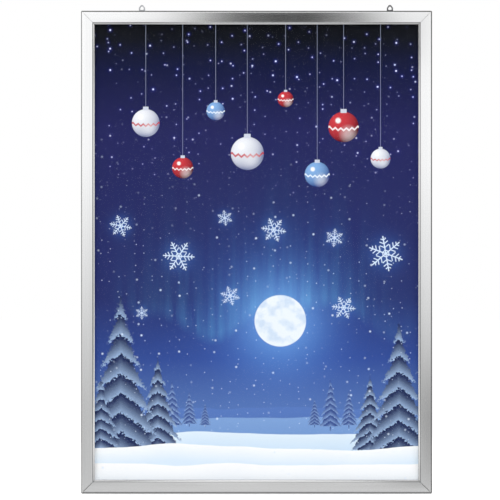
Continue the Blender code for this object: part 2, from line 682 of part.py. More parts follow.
def add_wires(seats):
    """A pair from the inlet to the bottom board, and a pair from there up the right rail to the top."""
    board_back = BOARD_EDGE - BOARD_THICKNESS - FIT
    link_along = OUTER_WIDTH / 2 - LINK_HOLE_FROM_END
    corner_along = OUTER_WIDTH / 2 - CHAMBER_MIDDLE
    supply_start = JACK_PLACE - JACK_BARREL_RADIUS - FIT
    supply_hole = JACK_PLACE - SUPPLY_RUN
    for name, finish, side_step in (("red", RED_WIRE, -1), ("black", BLACK_WIRE, 1)):
        depth = CHAMBER_DEPTH + side_step * WIRE_SPACING / 2
        supply = [
            rail_point("bottom", -supply_start, CHAMBER_MIDDLE, depth),
            rail_point("bottom", -supply_hole, CHAMBER_MIDDLE, depth),
            rail_point("bottom", -supply_hole, board_back, depth),
        ]
        add_wire("supply_wire_" + name, supply, finish, seats["middle"])
        link = [
            rail_point("bottom", -link_along, board_back, depth),
            rail_point("bottom", -link_along, CHAMBER_MIDDLE, depth),
            rail_point("bottom", -corner_along, CHAMBER_MIDDLE, depth),
            rail_point("top", corner_along, CHAMBER_MIDDLE, depth),
            rail_point("top", link_along, CHAMBER_MIDDLE, depth),
            rail_point("top", link_along, board_back, depth),
        ]
        add_wire("link_wire_" + name, link, finish, seats["middle"])


def eye_outline():
    """The hanger's sheet: a shank down into the foot's groove, and a pointed round eye above."""
    half = HANGER_WIDTH / 2
    foot = -(CHANNEL_INNER - FIT)
    top = arc((0, HANGER_SIDE_RISE), (half, HANGER_RISE - HANGER_SIDE_RISE), 0, 180)
    return [(half, foot)] + top + [(-half, foot)]


def eye_hole():
    """The eye's hole: a flat floor just above the rail, straight sides and a rounded point."""
    half = HANGER_WIDTH / 2 - EYE_SIDE
    shoulder = EYE_FLOOR + EYE_STRAIGHT
    peak = HANGER_RISE - EYE_CROWN
    arch = arc((0, shoulder), (half, peak - shoulder), 0, 180)
    return [(half, EYE_FLOOR)] + arch + [(-half, EYE_FLOOR)]


def add_hanger(name, along, seat):
    """A hanger sheet behind the top rail, and the screw and channel nut that clamp it."""
    shank_hole = circle((0, -CHANNEL_MIDDLE), SCREW_SHANK_RADIUS + FIT)
    sheet = plate_mesh("hanger_" + name, [eye_outline(), eye_hole(), shank_hole], HANGER_SHEET)
    add_piece("hanger_" + name, sheet, seat, ZINC_STEEL, (along, -HANGER_DEPTH, 0))
    half_nut = NUT_WIDTH / 2
    middle = -CHANNEL_MIDDLE
    square = [(-half_nut, middle - half_nut), (half_nut, middle - half_nut),
              (half_nut, middle + half_nut), (-half_nut, middle + half_nut)]
    nut = plate_mesh("hanger_nut_" + name, [square, shank_hole], CLEAT_THICKNESS)
    add_piece("hanger_nut_" + name, nut, seat, ZINC_STEEL, (along, -CLEAT_DEPTH, 0))
    head = SCREW_HEAD_INSET
    under_head = head + SCREW_HEAD_HEIGHT
    tip = CLEAT_DEPTH + CLEAT_THICKNESS
    profile = [(0, head), (SCREW_HEAD_RADIUS - SCREW_HEAD_CHAMFER, head),
               (SCREW_HEAD_RADIUS, head + SCREW_HEAD_CHAMFER), (SCREW_HEAD_RADIUS, under_head),
               (SCREW_SHANK_RADIUS, under_head), (SCREW_SHANK_RADIUS, tip), (0, tip)]
    mesh = turned_mesh("hanger_screw_" + name, profile, SCREW_SIDES)
    screw = add_piece("hanger_screw_" + name, mesh, seat, ZINC_STEEL, (along, 0, middle))
    screw.rotation_euler = (math.pi / 2, 0, 0)


def build():
    clear_scene()
    seats = add_seats()
    rails = {}
    for side in SIDES:
        rails[side] = add_base_rail(side, seats[side])
        add_snap_rail(side, seats[side])
        add_springs(side, seats[side])
    add_cleats(seats)
    add_light_stack(seats)
    add_light_strip("top", seats["top"])
    add_light_strip("bottom", seats["bottom"])
    link_along = OUTER_WIDTH / 2 - LINK_HOLE_FROM_END
    cut_wire_hole(rails["top"], "top_link_hole", seats["top"], link_along)
    cut_wire_hole(rails["bottom"], "bottom_link_hole", seats["bottom"], -link_along)
    cut_wire_hole(rails["bottom"], "supply_hole", seats["bottom"], -(JACK_PLACE - SUPPLY_RUN))
    add_jack(rails["bottom"], seats["bottom"])
    add_wires(seats)
    for name, along in HANGER_PLACES.items():
        add_hanger(name, along, seats["top"])


build()
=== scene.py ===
"""Looks of a snap frame light box that hangs on a wall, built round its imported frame.

The file follows the object as it is put together: base rails, corner cleats, back panel and light
stack, power inlet, poster and cover, springs, snap rails and hangers, then the studio and camera.
"""

import math

import bpy
from mathutils import Matrix, Vector


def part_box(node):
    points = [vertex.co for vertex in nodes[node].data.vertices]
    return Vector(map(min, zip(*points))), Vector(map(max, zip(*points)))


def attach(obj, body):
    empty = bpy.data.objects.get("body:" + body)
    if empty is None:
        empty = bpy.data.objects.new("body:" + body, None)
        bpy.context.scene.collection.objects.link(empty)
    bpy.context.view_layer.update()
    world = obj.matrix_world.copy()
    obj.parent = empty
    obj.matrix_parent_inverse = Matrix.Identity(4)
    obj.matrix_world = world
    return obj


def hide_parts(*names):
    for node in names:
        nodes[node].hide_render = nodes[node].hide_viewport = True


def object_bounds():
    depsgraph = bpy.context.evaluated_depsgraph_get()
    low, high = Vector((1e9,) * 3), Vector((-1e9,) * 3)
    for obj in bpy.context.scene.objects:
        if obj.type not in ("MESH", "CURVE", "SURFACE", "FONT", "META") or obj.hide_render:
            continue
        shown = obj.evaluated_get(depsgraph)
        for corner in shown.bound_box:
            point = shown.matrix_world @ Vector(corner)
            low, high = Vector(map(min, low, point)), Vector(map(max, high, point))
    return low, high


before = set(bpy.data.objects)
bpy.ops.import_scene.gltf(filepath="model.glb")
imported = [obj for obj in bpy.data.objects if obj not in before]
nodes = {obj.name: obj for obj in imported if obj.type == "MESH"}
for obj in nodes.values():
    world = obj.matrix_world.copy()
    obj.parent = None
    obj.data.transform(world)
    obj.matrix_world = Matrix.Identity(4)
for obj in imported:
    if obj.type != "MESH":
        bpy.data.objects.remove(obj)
cad_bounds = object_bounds()


# Base rails: four aluminium extrusions, mitred and satin anodised in natural silver.
# The press leaves fine lines along each bar, so the top and bottom rails and the upright ones
# share one finish whose grain is turned.

class Measure:
    """A number that varies over a surface. Arithmetic with it adds the shader's math nodes."""

    def __init__(self, tree, socket):
        self.tree = tree
        self.socket = socket

    def step(self, operation, *others):
        node = self.tree.nodes.new("ShaderNodeMath")
        node.operation = operation
        for socket, value in zip(node.inputs, (self, *others)):
            feed(self.tree, socket, value)
        return Measure(self.tree, node.outputs[0])

    def __add__(self, other):
        return self.step("ADD", other)

    def __sub__(self, other):
        return self.step("SUBTRACT", other)

    def __mul__(self, other):
        return self.step("MULTIPLY", other)

    def __truediv__(self, other):
        return self.step("DIVIDE", other)

    def size(self):
        return self.step("ABSOLUTE")

    def held(self):
        """Held between zero and one. A math node's own clamp uses up the renderer's shader stack."""
        return Measure(self.tree, add_node(self.tree, "ShaderNodeClamp", {"Value": self}).outputs[0])

    def rest(self):
        """What is left up to one."""
        return self.step("MULTIPLY_ADD", -1, 1)

    def below(self, limit, blur):
        """1 where it is under the limit and 0 above it, with an edge that is as wide as the blur."""
        return (self - limit).step("MULTIPLY_ADD", -1 / blur, 0.5).held()

    def within(self, low, high):
        """Runs from 0 at the low value to 1 at the high one, and is held beyond them."""
        return self.step("MULTIPLY_ADD", 1 / (high - low), -low / (high - low)).held()

    def ramp(self, low, high, level):
        """As within, but up to a level."""
        return self.within(low, high) * level


def feed(tree, socket, value):
    """Links a measure or an output to a socket, or sets the socket's value."""
    if isinstance(value, Measure):
        value = value.socket
    if isinstance(value, bpy.types.NodeSocket):
        tree.links.new(value, socket)
    else:
        socket.default_value = value


def add_node(tree, kind, values=None, **settings):
    """Adds a shader node with its settings, and feeds its sockets by name."""
    node = tree.nodes.new(kind)
    for setting, value in settings.items():
        setattr(node, setting, value)
    for name, value in (values or {}).items():
        feed(tree, node.inputs[name], value)
    return node


def open_group(name, inputs, outputs):
    """An empty node group with named sockets. Inputs without a value are vectors."""
    group = bpy.data.node_groups.new(name, "ShaderNodeTree")
    for socket, value in inputs.items():
        kind = "NodeSocketVector" if value is None else "NodeSocketFloat"
        made = group.interface.new_socket(socket, in_out="INPUT", socket_type=kind)
        if value is not None:
            made.default_value = value
    for socket in outputs:
        group.interface.new_socket(socket, in_out="OUTPUT", socket_type="NodeSocketFloat")
    entry = group.nodes.new("NodeGroupInput")
    return group, {socket: Measure(group, entry.outputs[socket]) for socket in inputs}


def close_group(group, results):
    way_out = group.nodes.new("NodeGroupOutput")
    for name, result in results.items():
        feed(group, way_out.inputs[name], result)
    return group


def use_group(tree, group, values):
    """Places a group in a tree, and returns its outputs as measures."""
    node = tree.nodes.new("ShaderNodeGroup")
    node.node_tree = group
    for name, value in values.items():
        feed(tree, node.inputs[name], value)
    return {output.name: Measure(tree, output) for output in node.outputs}


def noise(tree, vector, scale, detail=2.0, roughness=0.5):
    texture = add_node(tree, "ShaderNodeTexNoise", {
        "Vector": vector, "Scale": scale, "Detail": detail, "Roughness": roughness})
    return Measure(tree, texture.outputs[0])


def new_finish(name):
    """A material with its tree, its shader and the place on the piece in metres."""
    material = bpy.data.materials.new(name)
    material.use_nodes = True
    tree = material.node_tree
    place = tree.nodes.new("ShaderNodeTexCoord").outputs["Object"]
    return material, tree, tree.nodes["Principled BSDF"], place


def stretched(tree, place, scale):
    """The place with its axes stretched, so that a pattern runs along one of them."""
    return add_node(tree, "ShaderNodeMapping", {"Vector": place, "Scale": scale}).outputs[0]


def parts_of(tree, vector):
    """A place's three measures: across, in depth and upwards."""
    split = add_node(tree, "ShaderNodeSeparateXYZ", {"Vector": vector})
    return [Measure(tree, output) for output in split.outputs]


MIX_SHARE, MIX_FIRST_COLOUR, MIX_SECOND_COLOUR = 0, 6, 7
MIXED_COLOUR = 2


def blend_colours(tree, share, first, second, blend_type="MIX"):
    mix = add_node(tree, "ShaderNodeMix", data_type="RGBA", blend_type=blend_type)
    feed(tree, mix.inputs[MIX_SHARE], share)
    feed(tree, mix.inputs[MIX_FIRST_COLOUR], first)
    feed(tree, mix.inputs[MIX_SECOND_COLOUR], second)
    return mix.outputs[MIXED_COLOUR]


def tint(tree, share, first, second):
    """Two plain colours blended by a measure."""
    return blend_colours(tree, share, (*first, 1), (*second, 1))


def coat(tree, shader, colour, roughness):
    """Feeds the shader a colour and a roughness that change over the surface."""
    feed(tree, shader.inputs["Base Color"], colour)
    feed(tree, shader.inputs["Roughness"], roughness)


def bumped(tree, shader, height, strength, distance):
    bump = add_node(tree, "ShaderNodeBump",
                    {"Height": height, "Strength": strength, "Distance": distance})
    tree.links.new(bump.outputs[0], shader.inputs["Normal"])


NOISE_REACH = (0.3, 0.7)
FINE_LINES_SHARE = 0.55
CLOUDS_SHARE = 0.7


def drawn_grain_group():
    """Fine die lines over broader bands, for a vector that is already stretched along the bar."""
    inputs = {"Vector": None, "Lines": 1.0, "Bands": 0.12}
    group, at = open_group("drawn_grain", inputs, ["Tone", "Height"])
    fine = noise(group, at["Vector"].socket, at["Lines"], 3.0, 0.65)
    broad = noise(group, at["Vector"].socket, at["Bands"], 2.0)
    tone = fine * FINE_LINES_SHARE + broad * (1 - FINE_LINES_SHARE)
    return close_group(group, {"Tone": tone.within(*NOISE_REACH), "Height": fine})


def handling_group():
    """Faint marks that hands and cloths leave: broad cloudy patches and a few small spots."""
    group, at = open_group("handling_marks", {"Vector": None, "Scale": 12.0}, ["Mask"])
    clouds = noise(group, at["Vector"].socket, at["Scale"], 4.0, 0.6).within(0.42, 0.72)
    spots = noise(group, at["Vector"].socket, at["Scale"] * 9.0, 1.0).within(0.66, 0.74)
    both = clouds * CLOUDS_SHARE + spots * (1 - CLOUDS_SHARE)
    return close_group(group, {"Mask": both.step("MINIMUM", 1.0)})


drawn_grain = drawn_grain_group()
handling_marks = handling_group()

# Dark colour of the painted shade on the snap rails.
RAIL_SHADE_COLOUR = (0.12, 0.12, 0.12, 1)
GRAIN_HEIGHT = 0.00004
GRAIN_ROUGHNESS = 0.05
MARKS_ROUGHNESS = 0.04


def drawn_metal(name, dark, light, roughness, scale, bump=0.12, shade_at=None):
    """A metal with a drawn or rolled grain. Its scale says how the grain runs, and the last argument
    where painted shade darkens its colour."""
    material, tree, shader, place = new_finish(name)
    grain = use_group(tree, drawn_grain, {"Vector": stretched(tree, place, scale)})
    marks = use_group(tree, handling_marks, {"Vector": place})["Mask"]
    colour = tint(tree, grain["Tone"], dark, light)
    if shade_at is not None:
        # Painted shade: the dark colour is blended in where the mask says.
        colour = blend_colours(tree, shade_at(tree, place), colour, RAIL_SHADE_COLOUR)
    coat(tree, shader, colour, grain["Tone"] * GRAIN_ROUGHNESS + marks * MARKS_ROUGHNESS + roughness)
    shader.inputs["Metallic"].default_value = 1.0
    bumped(tree, shader, grain["Height"], bump, GRAIN_HEIGHT)
    return material


SILVER_DARK = (0.88, 0.885, 0.89)
SILVER_LIGHT = (0.945, 0.95, 0.955)
SILVER_ROUGHNESS = 0.18
SILVER_BUMP = 0.05
ALONG_SCALE = 5.0
ACROSS_SCALE = 900.0
LYING_GRAIN = (ALONG_SCALE, ACROSS_SCALE, ACROSS_SCALE)
UPRIGHT_GRAIN = (ACROSS_SCALE, ACROSS_SCALE, ALONG_SCALE)


def silver(name, scale, shade_at=None):
    return drawn_metal(name, SILVER_DARK, SILVER_LIGHT, SILVER_ROUGHNESS, scale, SILVER_BUMP, shade_at)


lying_silver = silver("silver_lying", LYING_GRAIN)
upright_silver = silver("silver_upright", UPRIGHT_GRAIN)


def finish_node(name, material):
    """Gives a carried-over CAD node its finish. Its shape stays as it is."""
    for slot in nodes[name].material_slots:
        slot.material = material


def each_side(lying, upright):
    """The frame's four sides, each with what the lying or the upright ones have."""
    return ("top", lying), ("bottom", lying), ("left", upright), ("right", upright)


for side, finish in each_side(lying_silver, upright_silver):
    finish_node("base_rail_" + side, finish)


# Corner cleats and their grub screws: flat punched aluminium corners lie in the rails' rear
# channels, and two steel grub screws with hexagon sockets press each one against the lips.

ROLLED_GRAIN = (300, 300, 30)
PLATED_GRAIN = (160, 160, 160)
mill_aluminium = drawn_metal("mill_aluminium", (0.40, 0.41, 0.42), (0.56, 0.57, 0.58), 0.36,
                             ROLLED_GRAIN)
zinc_plate = drawn_metal("zinc_plate", (0.40, 0.41, 0.43), (0.66, 0.67, 0.69), 0.28, PLATED_GRAIN)

CORNERS = ("top_left", "top_right", "bottom_left", "bottom_right")
GRUB_SIDES = 32
GRUB_RIM = 0.0002
GRUB_TURN_BY_CORNER, GRUB_TURN_BY_NUMBER = 0.4, 0.7
HEX_SIDES = 6
HEX_ACROSS_CORNERS_SHARE = 0.6
HEX_DEPTH_SHARE = 0.55
FACING = 0.9
ROUND_ANGLE = 35
EDGE_ANGLE = 50
ALONG_DEPTH = (math.pi / 2, 0, 0)


def start_piece():
    """Nothing may stay selected, because an operator acts on all that is."""
    if bpy.context.object and bpy.context.object.mode != "OBJECT":
        bpy.ops.object.mode_set(mode="OBJECT")
    bpy.ops.object.select_all(action="DESELECT")


def name_piece(name):
    piece = bpy.context.object
    piece.name = name
    piece.data.name = name
    return piece


def select_faces(piece, wanted):
    """In edit mode, selects the faces whose normal the test accepts."""
    bpy.ops.object.mode_set(mode="OBJECT")
    for face in piece.data.polygons:
        face.select = wanted(piece.matrix_world.to_3x3() @ face.normal)
    for edge in piece.data.edges:
        edge.select = False
    bpy.ops.object.mode_set(mode="EDIT")
    bpy.ops.mesh.select_mode(type="FACE")


def work_with(piece, kind, **settings):
    """Adds a modifier to the piece, and applies it."""
    modifier = piece.modifiers.new("step", kind)
    for setting, value in settings.items():
        setattr(modifier, setting, value)
    bpy.context.view_layer.objects.active = piece
    bpy.ops.object.modifier_apply(modifier=modifier.name)


def cut_out(piece, cutter):
    """Cuts the cutter's shape out of the piece, and takes the cutter away."""
    work_with(piece, "BOOLEAN", operation="DIFFERENCE", object=cutter, solver="EXACT")
    bpy.data.objects.remove(cutter, do_unlink=True)


def round_edges(piece, width, segments=2):
    work_with(piece, "BEVEL", width=width, segments=segments, limit_method="ANGLE",
              angle_limit=math.radians(EDGE_ANGLE))


def settle(piece):
    """Puts the piece's place into its mesh, and shades its round faces smooth."""
    start_piece()
    piece.select_set(True)
    bpy.context.view_layer.objects.active = piece
    bpy.ops.object.transform_apply(location=True, rotation=True, scale=True)
    bpy.ops.object.shade_smooth_by_angle(angle=math.radians(ROUND_ANGLE))
    return piece


def dress(piece, material, slot, body, *replaced):
    """Gives a finished piece its material and its body, and hides the nodes it stands for. The slot is
    not used.
    """
    piece.data.materials.clear()
    piece.data.materials.append(material)
    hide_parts(*replaced)
    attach(piece, body)


def copy_piece(piece, name, move, turn_centre, turn):
    """A copy with its own mesh, turned about the depth axis through a point and then moved."""
    copy = piece.copy()
    copy.data = piece.data.copy()
    copy.name = name
    copy.data.name = name
    bpy.context.scene.collection.objects.link(copy)
    to_centre = Matrix.Translation(turn_centre)
    copy.data.transform(to_centre @ Matrix.Rotation(turn, 4, "Y") @ to_centre.inverted())
    copy.data.transform(Matrix.Translation(move))
    return copy


def middle_of(node):
    low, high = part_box(node)
    return (low + high) / 2


def round_place(node):
    """A round node's low and high corners, its centre and its radius."""
    low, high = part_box(node)
    return low, high, (low + high) / 2, (high.x - low.x) / 2


def add_rod(sides, radius, length, place, turn=(0, 0, 0)):
    bpy.ops.mesh.primitive_cylinder_add(vertices=sides, radius=radius, depth=length, location=place,
                                        rotation=turn)


def model_grub_screw(node):
    low, high, centre, radius = round_place(node)
    length = high.y - low.y
    start_piece()
    add_rod(GRUB_SIDES, radius, length, centre, ALONG_DEPTH)
    screw = name_piece("grub_screw_first")
    add_rod(HEX_SIDES, radius * HEX_ACROSS_CORNERS_SHARE, 2 * length * HEX_DEPTH_SHARE,
            (centre.x, high.y, centre.z), ALONG_DEPTH)
    cut_out(screw, bpy.context.object)
    round_edges(screw, GRUB_RIM)
    return settle(screw)


first_grub_node = "cleat_screw_top_left_1"
first_grub = model_grub_screw(first_grub_node)
for index, corner in enumerate(CORNERS):
    finish_node("corner_cleat_" + corner, mill_aluminium)
    for number in (1, 2):
        node = "cleat_screw_" + corner + "_" + str(number)
        move = middle_of(node) - middle_of(first_grub_node)
        turn = GRUB_TURN_BY_CORNER * index + GRUB_TURN_BY_NUMBER * number
        screw = copy_piece(first_grub, "grub_screw_" + corner + "_" + str(number), move,
                           middle_of(first_grub_node), turn)
        dress(screw, zinc_plate, "zinc_steel", "frame", node)
bpy.data.objects.remove(first_grub, do_unlink=True)


# Back panel: a sheet of pale grey foamed plastic with a fine embossed skin, which slides
# into the rails before the last corner is closed.

SKIN_HEIGHT = 0.0001
SHEET_CLOUDS_SHARE = 0.6
SKIN_ROUGHNESS = 0.1
SHEET_MARKS_ROUGHNESS = 0.08


def marks_on(tree, place, scale):
    return use_group(tree, handling_marks, {"Vector": place, "Scale": scale})["Mask"]


def sheet_finish(name, colour, shade, roughness, grain_scale, bump):
    """A plastic sheet with a fine skin, slight clouds in its colour, and handling marks."""
    material, tree, shader, place = new_finish(name)
    skin = noise(tree, place, grain_scale, 2.0, 0.6)
    clouds = noise(tree, place, 7.0, 3.0)
    marks = marks_on(tree, place, 9.0)
    tone = (clouds * SHEET_CLOUDS_SHARE + skin * (1 - SHEET_CLOUDS_SHARE)).within(*NOISE_REACH)
    coat(tree, shader, tint(tree, tone, shade, colour),
         skin * SKIN_ROUGHNESS + marks * SHEET_MARKS_ROUGHNESS + roughness)
    bumped(tree, shader, skin, bump, SKIN_HEIGHT)
    return material


back_board = sheet_finish("back_board", (0.60, 0.61, 0.62), (0.50, 0.51, 0.52), 0.48, 700, 0.4)
finish_node("back_panel", back_board)


# Reflector, light guide and diffuser: a white film throws the light forward, an acrylic plate
# printed with dots leads it in from its edges, and an opal sheet evens it out.

GUIDE_DOT_PITCH = 0.004
GUIDE_DOT_RADIUS = GUIDE_DOT_PITCH * 0.17
GUIDE_DOT_BLUR = GUIDE_DOT_PITCH * 0.05
GUIDE_CLEAR, GUIDE_WHITE = (0.80, 0.86, 0.88), (0.93, 0.94, 0.94)
FINE_HEIGHT = 0.00005


def spread_of(across, up):
    """How far a point lies from the middle."""
    return (across * across + up * up).step("SQRT")


def guide_finish():
    """Clear acrylic with a grid of small white dots on it."""
    material, tree, shader, place = new_finish("guide_acrylic")
    across, _, up = parts_of(tree, place)
    half_pitch = GUIDE_DOT_PITCH / 2
    spread = spread_of(across.step("PINGPONG", half_pitch), up.step("PINGPONG", half_pitch))
    dots = spread.below(GUIDE_DOT_RADIUS, GUIDE_DOT_BLUR)
    coat(tree, shader, tint(tree, dots, GUIDE_CLEAR, GUIDE_WHITE), dots * 0.4 + 0.08)
    feed(tree, shader.inputs["Alpha"], dots * 0.35 + 0.6)
    bumped(tree, shader, dots, 0.2, FINE_HEIGHT)
    return material


reflector_film = sheet_finish("reflector_film", (0.86, 0.86, 0.86), (0.82, 0.82, 0.82), 0.35, 900, 0.1)
finish_node("reflector_sheet", reflector_film)
finish_node("light_guide", guide_finish())
opal_sheet = sheet_finish("opal_sheet", (0.84, 0.84, 0.83), (0.80, 0.80, 0.80), 0.42, 1100, 0.1)
finish_node("diffuser_sheet", opal_sheet)


# Light strips and wires: white-coated boards with yellow chips soldered on, stood on the fins of
# the top and bottom rails, and thin insulated wires that run from the inlet through the rails.

CHIP_THICKNESS = 0.0007
CHIP_BLUR = 0.00004
TONE_ROUGHNESS = 0.2


def strip_finish(name, chip_start, chip_way):
    """White board, and yellow chips beyond the board's inner face."""
    material, tree, shader, place = new_finish(name)
    _, _, up = parts_of(tree, place)
    chips = ((up - chip_start) * chip_way).below(0.0, CHIP_BLUR)
    tone = noise(tree, place, 900, 2.0)
    board = tint(tree, tone, (0.74, 0.75, 0.74), (0.84, 0.84, 0.83))
    phosphor = tint(tree, tone, (0.80, 0.62, 0.10), (0.90, 0.76, 0.22))
    coat(tree, shader, blend_colours(tree, chips, phosphor, board), tone * TONE_ROUGHNESS + 0.3)
    bumped(tree, shader, tone, 0.1, SKIN_HEIGHT)
    return material


top_chip_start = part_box("led_strip_top")[0].z + CHIP_THICKNESS
bottom_chip_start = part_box("led_strip_bottom")[1].z - CHIP_THICKNESS
finish_node("led_strip_top", strip_finish("light_strip_top", top_chip_start, -1))
finish_node("led_strip_bottom", strip_finish("light_strip_bottom", bottom_chip_start, 1))


def wire_finish(name, dark, light):
    material, tree, shader, place = new_finish(name)
    tone = noise(tree, place, 350, 3.0)
    coat(tree, shader, tint(tree, tone, dark, light), tone * TONE_ROUGHNESS + 0.32)
    bumped(tree, shader, tone, 0.15, SKIN_HEIGHT)
    return material


wire_colours = {
    "red": wire_finish("red_insulation", (0.50, 0.02, 0.02), (0.66, 0.05, 0.04)),
    "black": wire_finish("black_insulation", (0.012, 0.012, 0.013), (0.028, 0.028, 0.030)),
}
for colour, material in wire_colours.items():
    finish_node("supply_wire_" + colour, material)
    finish_node("link_wire_" + colour, material)


# Power inlet: a moulded black barrel with a flange, pushed through the bottom rail's outer wall,
# with a turned brass pin at its middle.

JACK_SIDES = 48
JACK_FLANGE = 0.0006
JACK_BARREL_SHARE = 0.864
JACK_BORE_SHARE = 0.636
JACK_FLOOR = 0.0010
JACK_RIM = 0.00018


def moulded_finish(name):
    material, tree, shader, place = new_finish(name)
    skin = noise(tree, place, 3200, 2.0, 0.7)
    marks = marks_on(tree, place, 60.0)
    coat(tree, shader, tint(tree, skin, (0.012, 0.012, 0.013), (0.030, 0.030, 0.032)),
         skin * 0.15 + marks * 0.1 + 0.36)
    bumped(tree, shader, skin, 0.3, FINE_HEIGHT)
    return material


def draw_out(reach, thickness=0.0):
    """Insets the selected faces, if asked, and draws them out."""
    if thickness:
        bpy.ops.mesh.inset(thickness=thickness, depth=0)
    bpy.ops.mesh.extrude_region_move(TRANSFORM_OT_translate={"value": reach})


def model_inlet():
    """A disc for the flange, drawn up into the barrel and hollowed from below."""
    low, high, centre, radius = round_place("dc_jack")
    height = high.z - low.z
    start_piece()
    add_rod(JACK_SIDES, radius, JACK_FLANGE, (centre.x, centre.y, low.z + JACK_FLANGE / 2))
    inlet = name_piece("power_inlet")
    select_faces(inlet, lambda normal: normal.z > FACING)
    draw_out((0, 0, height - JACK_FLANGE), radius * (1 - JACK_BARREL_SHARE))
    select_faces(inlet, lambda normal: normal.z < -FACING)
    draw_out((0, 0, height - JACK_FLOOR), radius * (1 - JACK_BORE_SHARE))
    bpy.ops.object.mode_set(mode="OBJECT")
    round_edges(inlet, JACK_RIM)
    return settle(inlet)


dress(model_inlet(), moulded_finish("moulded_black"), "black_plastic", "frame", "dc_jack")
TURNED_GRAIN = (900, 900, 900)
brass = drawn_metal("brass_turned", (0.66, 0.47, 0.20), (0.80, 0.62, 0.32), 0.22, TURNED_GRAIN)
finish_node("dc_jack_pin", brass)


# Poster: a backlit print on translucent film, trapped behind the clear cover. Its picture is a
# winter night: stars, northern lights and a low moon over snowy hills with firs, and glass balls
# that hang on threads. Places and sizes on it are in millimetres from its middle.

POSTER_MIDDLE = middle_of("poster_sheet").z
POSTER_HALF_HEIGHT = 350.0
MILLIMETRES = 1000.0
PRINT_SHARE = 0.6
BACKLIGHT_SHARE = 0.4


def ink(red, green, blue):
    """A colour as a screen shows it, from 0 to 255, turned to the shader's scale."""
    return tuple(((value / 255 + 0.055) / 1.055) ** 2.4 if value > 10 else value / 3295
                 for value in (red, green, blue)) + (1.0,)


def wave_along(tree, run, detail):
    """Noise along one measure."""
    texture = add_node(tree, "ShaderNodeTexNoise", noise_dimensions="1D")
    for name, value in (("W", run), ("Scale", 1.0), ("Detail", detail)):
        feed(tree, texture.inputs[name], value)
    return Measure(tree, texture.outputs[0])


SIXTH_TURN = math.pi / 3
# Shares of a snowflake's size: where each pair of side branches starts, and its length
FLAKE_BRANCHES = ((0.34, 0.30), (0.56, 0.27), (0.77, 0.17))
FLAKE_ARM, FLAKE_BRANCH, FLAKE_HEXAGON, FLAKE_HEXAGON_LINE = 0.034, 0.028, 0.17, 0.026
LINE_BLUR = 0.02
END_BLUR = 0.03


def flake_group():
    """A six-armed snowflake: three pairs of side branches on each arm, and a hexagon at the middle."""
    group, at = open_group("snowflake", {"Across": 0.0, "Up": 0.0, "Size": 10.0, "Turn": 0.0}, ["Mask"])
    angle = at["Up"].step("ARCTAN2", at["Across"]) + at["Turn"]
    fold = ((angle + SIXTH_TURN / 2).step("FLOORED_MODULO", SIXTH_TURN) - SIXTH_TURN / 2).size()
    reach = spread_of(at["Across"], at["Up"]) / at["Size"]
    along = reach * fold.step("COSINE")
    aside = reach * fold.step("SINE")
    mask = aside.below(FLAKE_ARM, LINE_BLUR) * along.below(1.0, END_BLUR)
    for foot, length in FLAKE_BRANCHES:
        run = (along - foot) * math.cos(SIXTH_TURN) + aside * math.sin(SIXTH_TURN)
        off = (aside * math.cos(SIXTH_TURN) - (along - foot) * math.sin(SIXTH_TURN)).size()
        mask = mask.step("MAXIMUM", off.below(FLAKE_BRANCH, LINE_BLUR) * run.below(length, END_BLUR))
    edge = (along * math.cos(SIXTH_TURN / 2) + aside * math.sin(SIXTH_TURN / 2) - FLAKE_HEXAGON).size()
    return close_group(group, {"Mask": mask.step("MAXIMUM", edge.below(FLAKE_HEXAGON_LINE, LINE_BLUR))})


FIR_TIERS = 8.0
FIR_DROOP = 1.5
FIR_TIER_STEP = 0.42
FIR_RAGGED_RISE, FIR_RAGGED_SIDE = 0.05, 0.22
FIR_TRUNK_SHARE = 0.05
FIR_TRUNK_TOP = 0.1


def fir_group():
    """A fir with drooping tiers that narrow upwards. Snow lies on each tier's outer branches."""
    inputs = {"Across": 0.0, "Up": 0.0, "Height": 100.0, "Width": 30.0, "Ragged": 0.0}
    group, at = open_group("fir", inputs, ["Mask", "Snow"])
    rise = at["Up"] / at["Height"] + at["Ragged"] * FIR_RAGGED_RISE
    side = at["Across"].size() / at["Width"] + at["Ragged"] * FIR_RAGGED_SIDE
    tier = (rise * FIR_TIERS + side * FIR_DROOP).step("FRACT")
    limit = rise.rest() * (tier * -FIR_TIER_STEP + 1.0)
    mask = side.below(limit, END_BLUR) * rise.step("GREATER_THAN", 0.0)
    trunk = at["Across"].size().below(at["Width"] * FIR_TRUNK_SHARE, 0.4)
    trunk = trunk * rise.size().below(FIR_TRUNK_TOP, 0.01)
    snow = tier.rest().step("POWER", 1.6) * (at["Ragged"] * 1.3 + 0.75).within(0.1, 0.9)
    return close_group(group, {"Mask": mask.step("MAXIMUM", trunk), "Snow": snow})


# On a ball, in its radii: middles across and up, sizes and blurs
BALL_GLINT = (-0.36, 0.42, 0.17, 0.12)
BALL_RIM_LIGHT = (0.3, -0.45, 0.42, 0.5)
BALL_RIM_LEVEL = 0.35
BAND_BOW, BAND_WAVES, BAND_WAVE, BAND_DROP, BAND_HALF = 0.18, 5.5, 0.16, 0.06, 0.07
CAP_HALF_WIDTH, CAP_MIDDLE, CAP_HALF_HEIGHT, THREAD_FOOT = 0.20, 1.05, 0.13, 1.1
THREAD_HALF, THREAD_BLUR = 0.35, 0.3


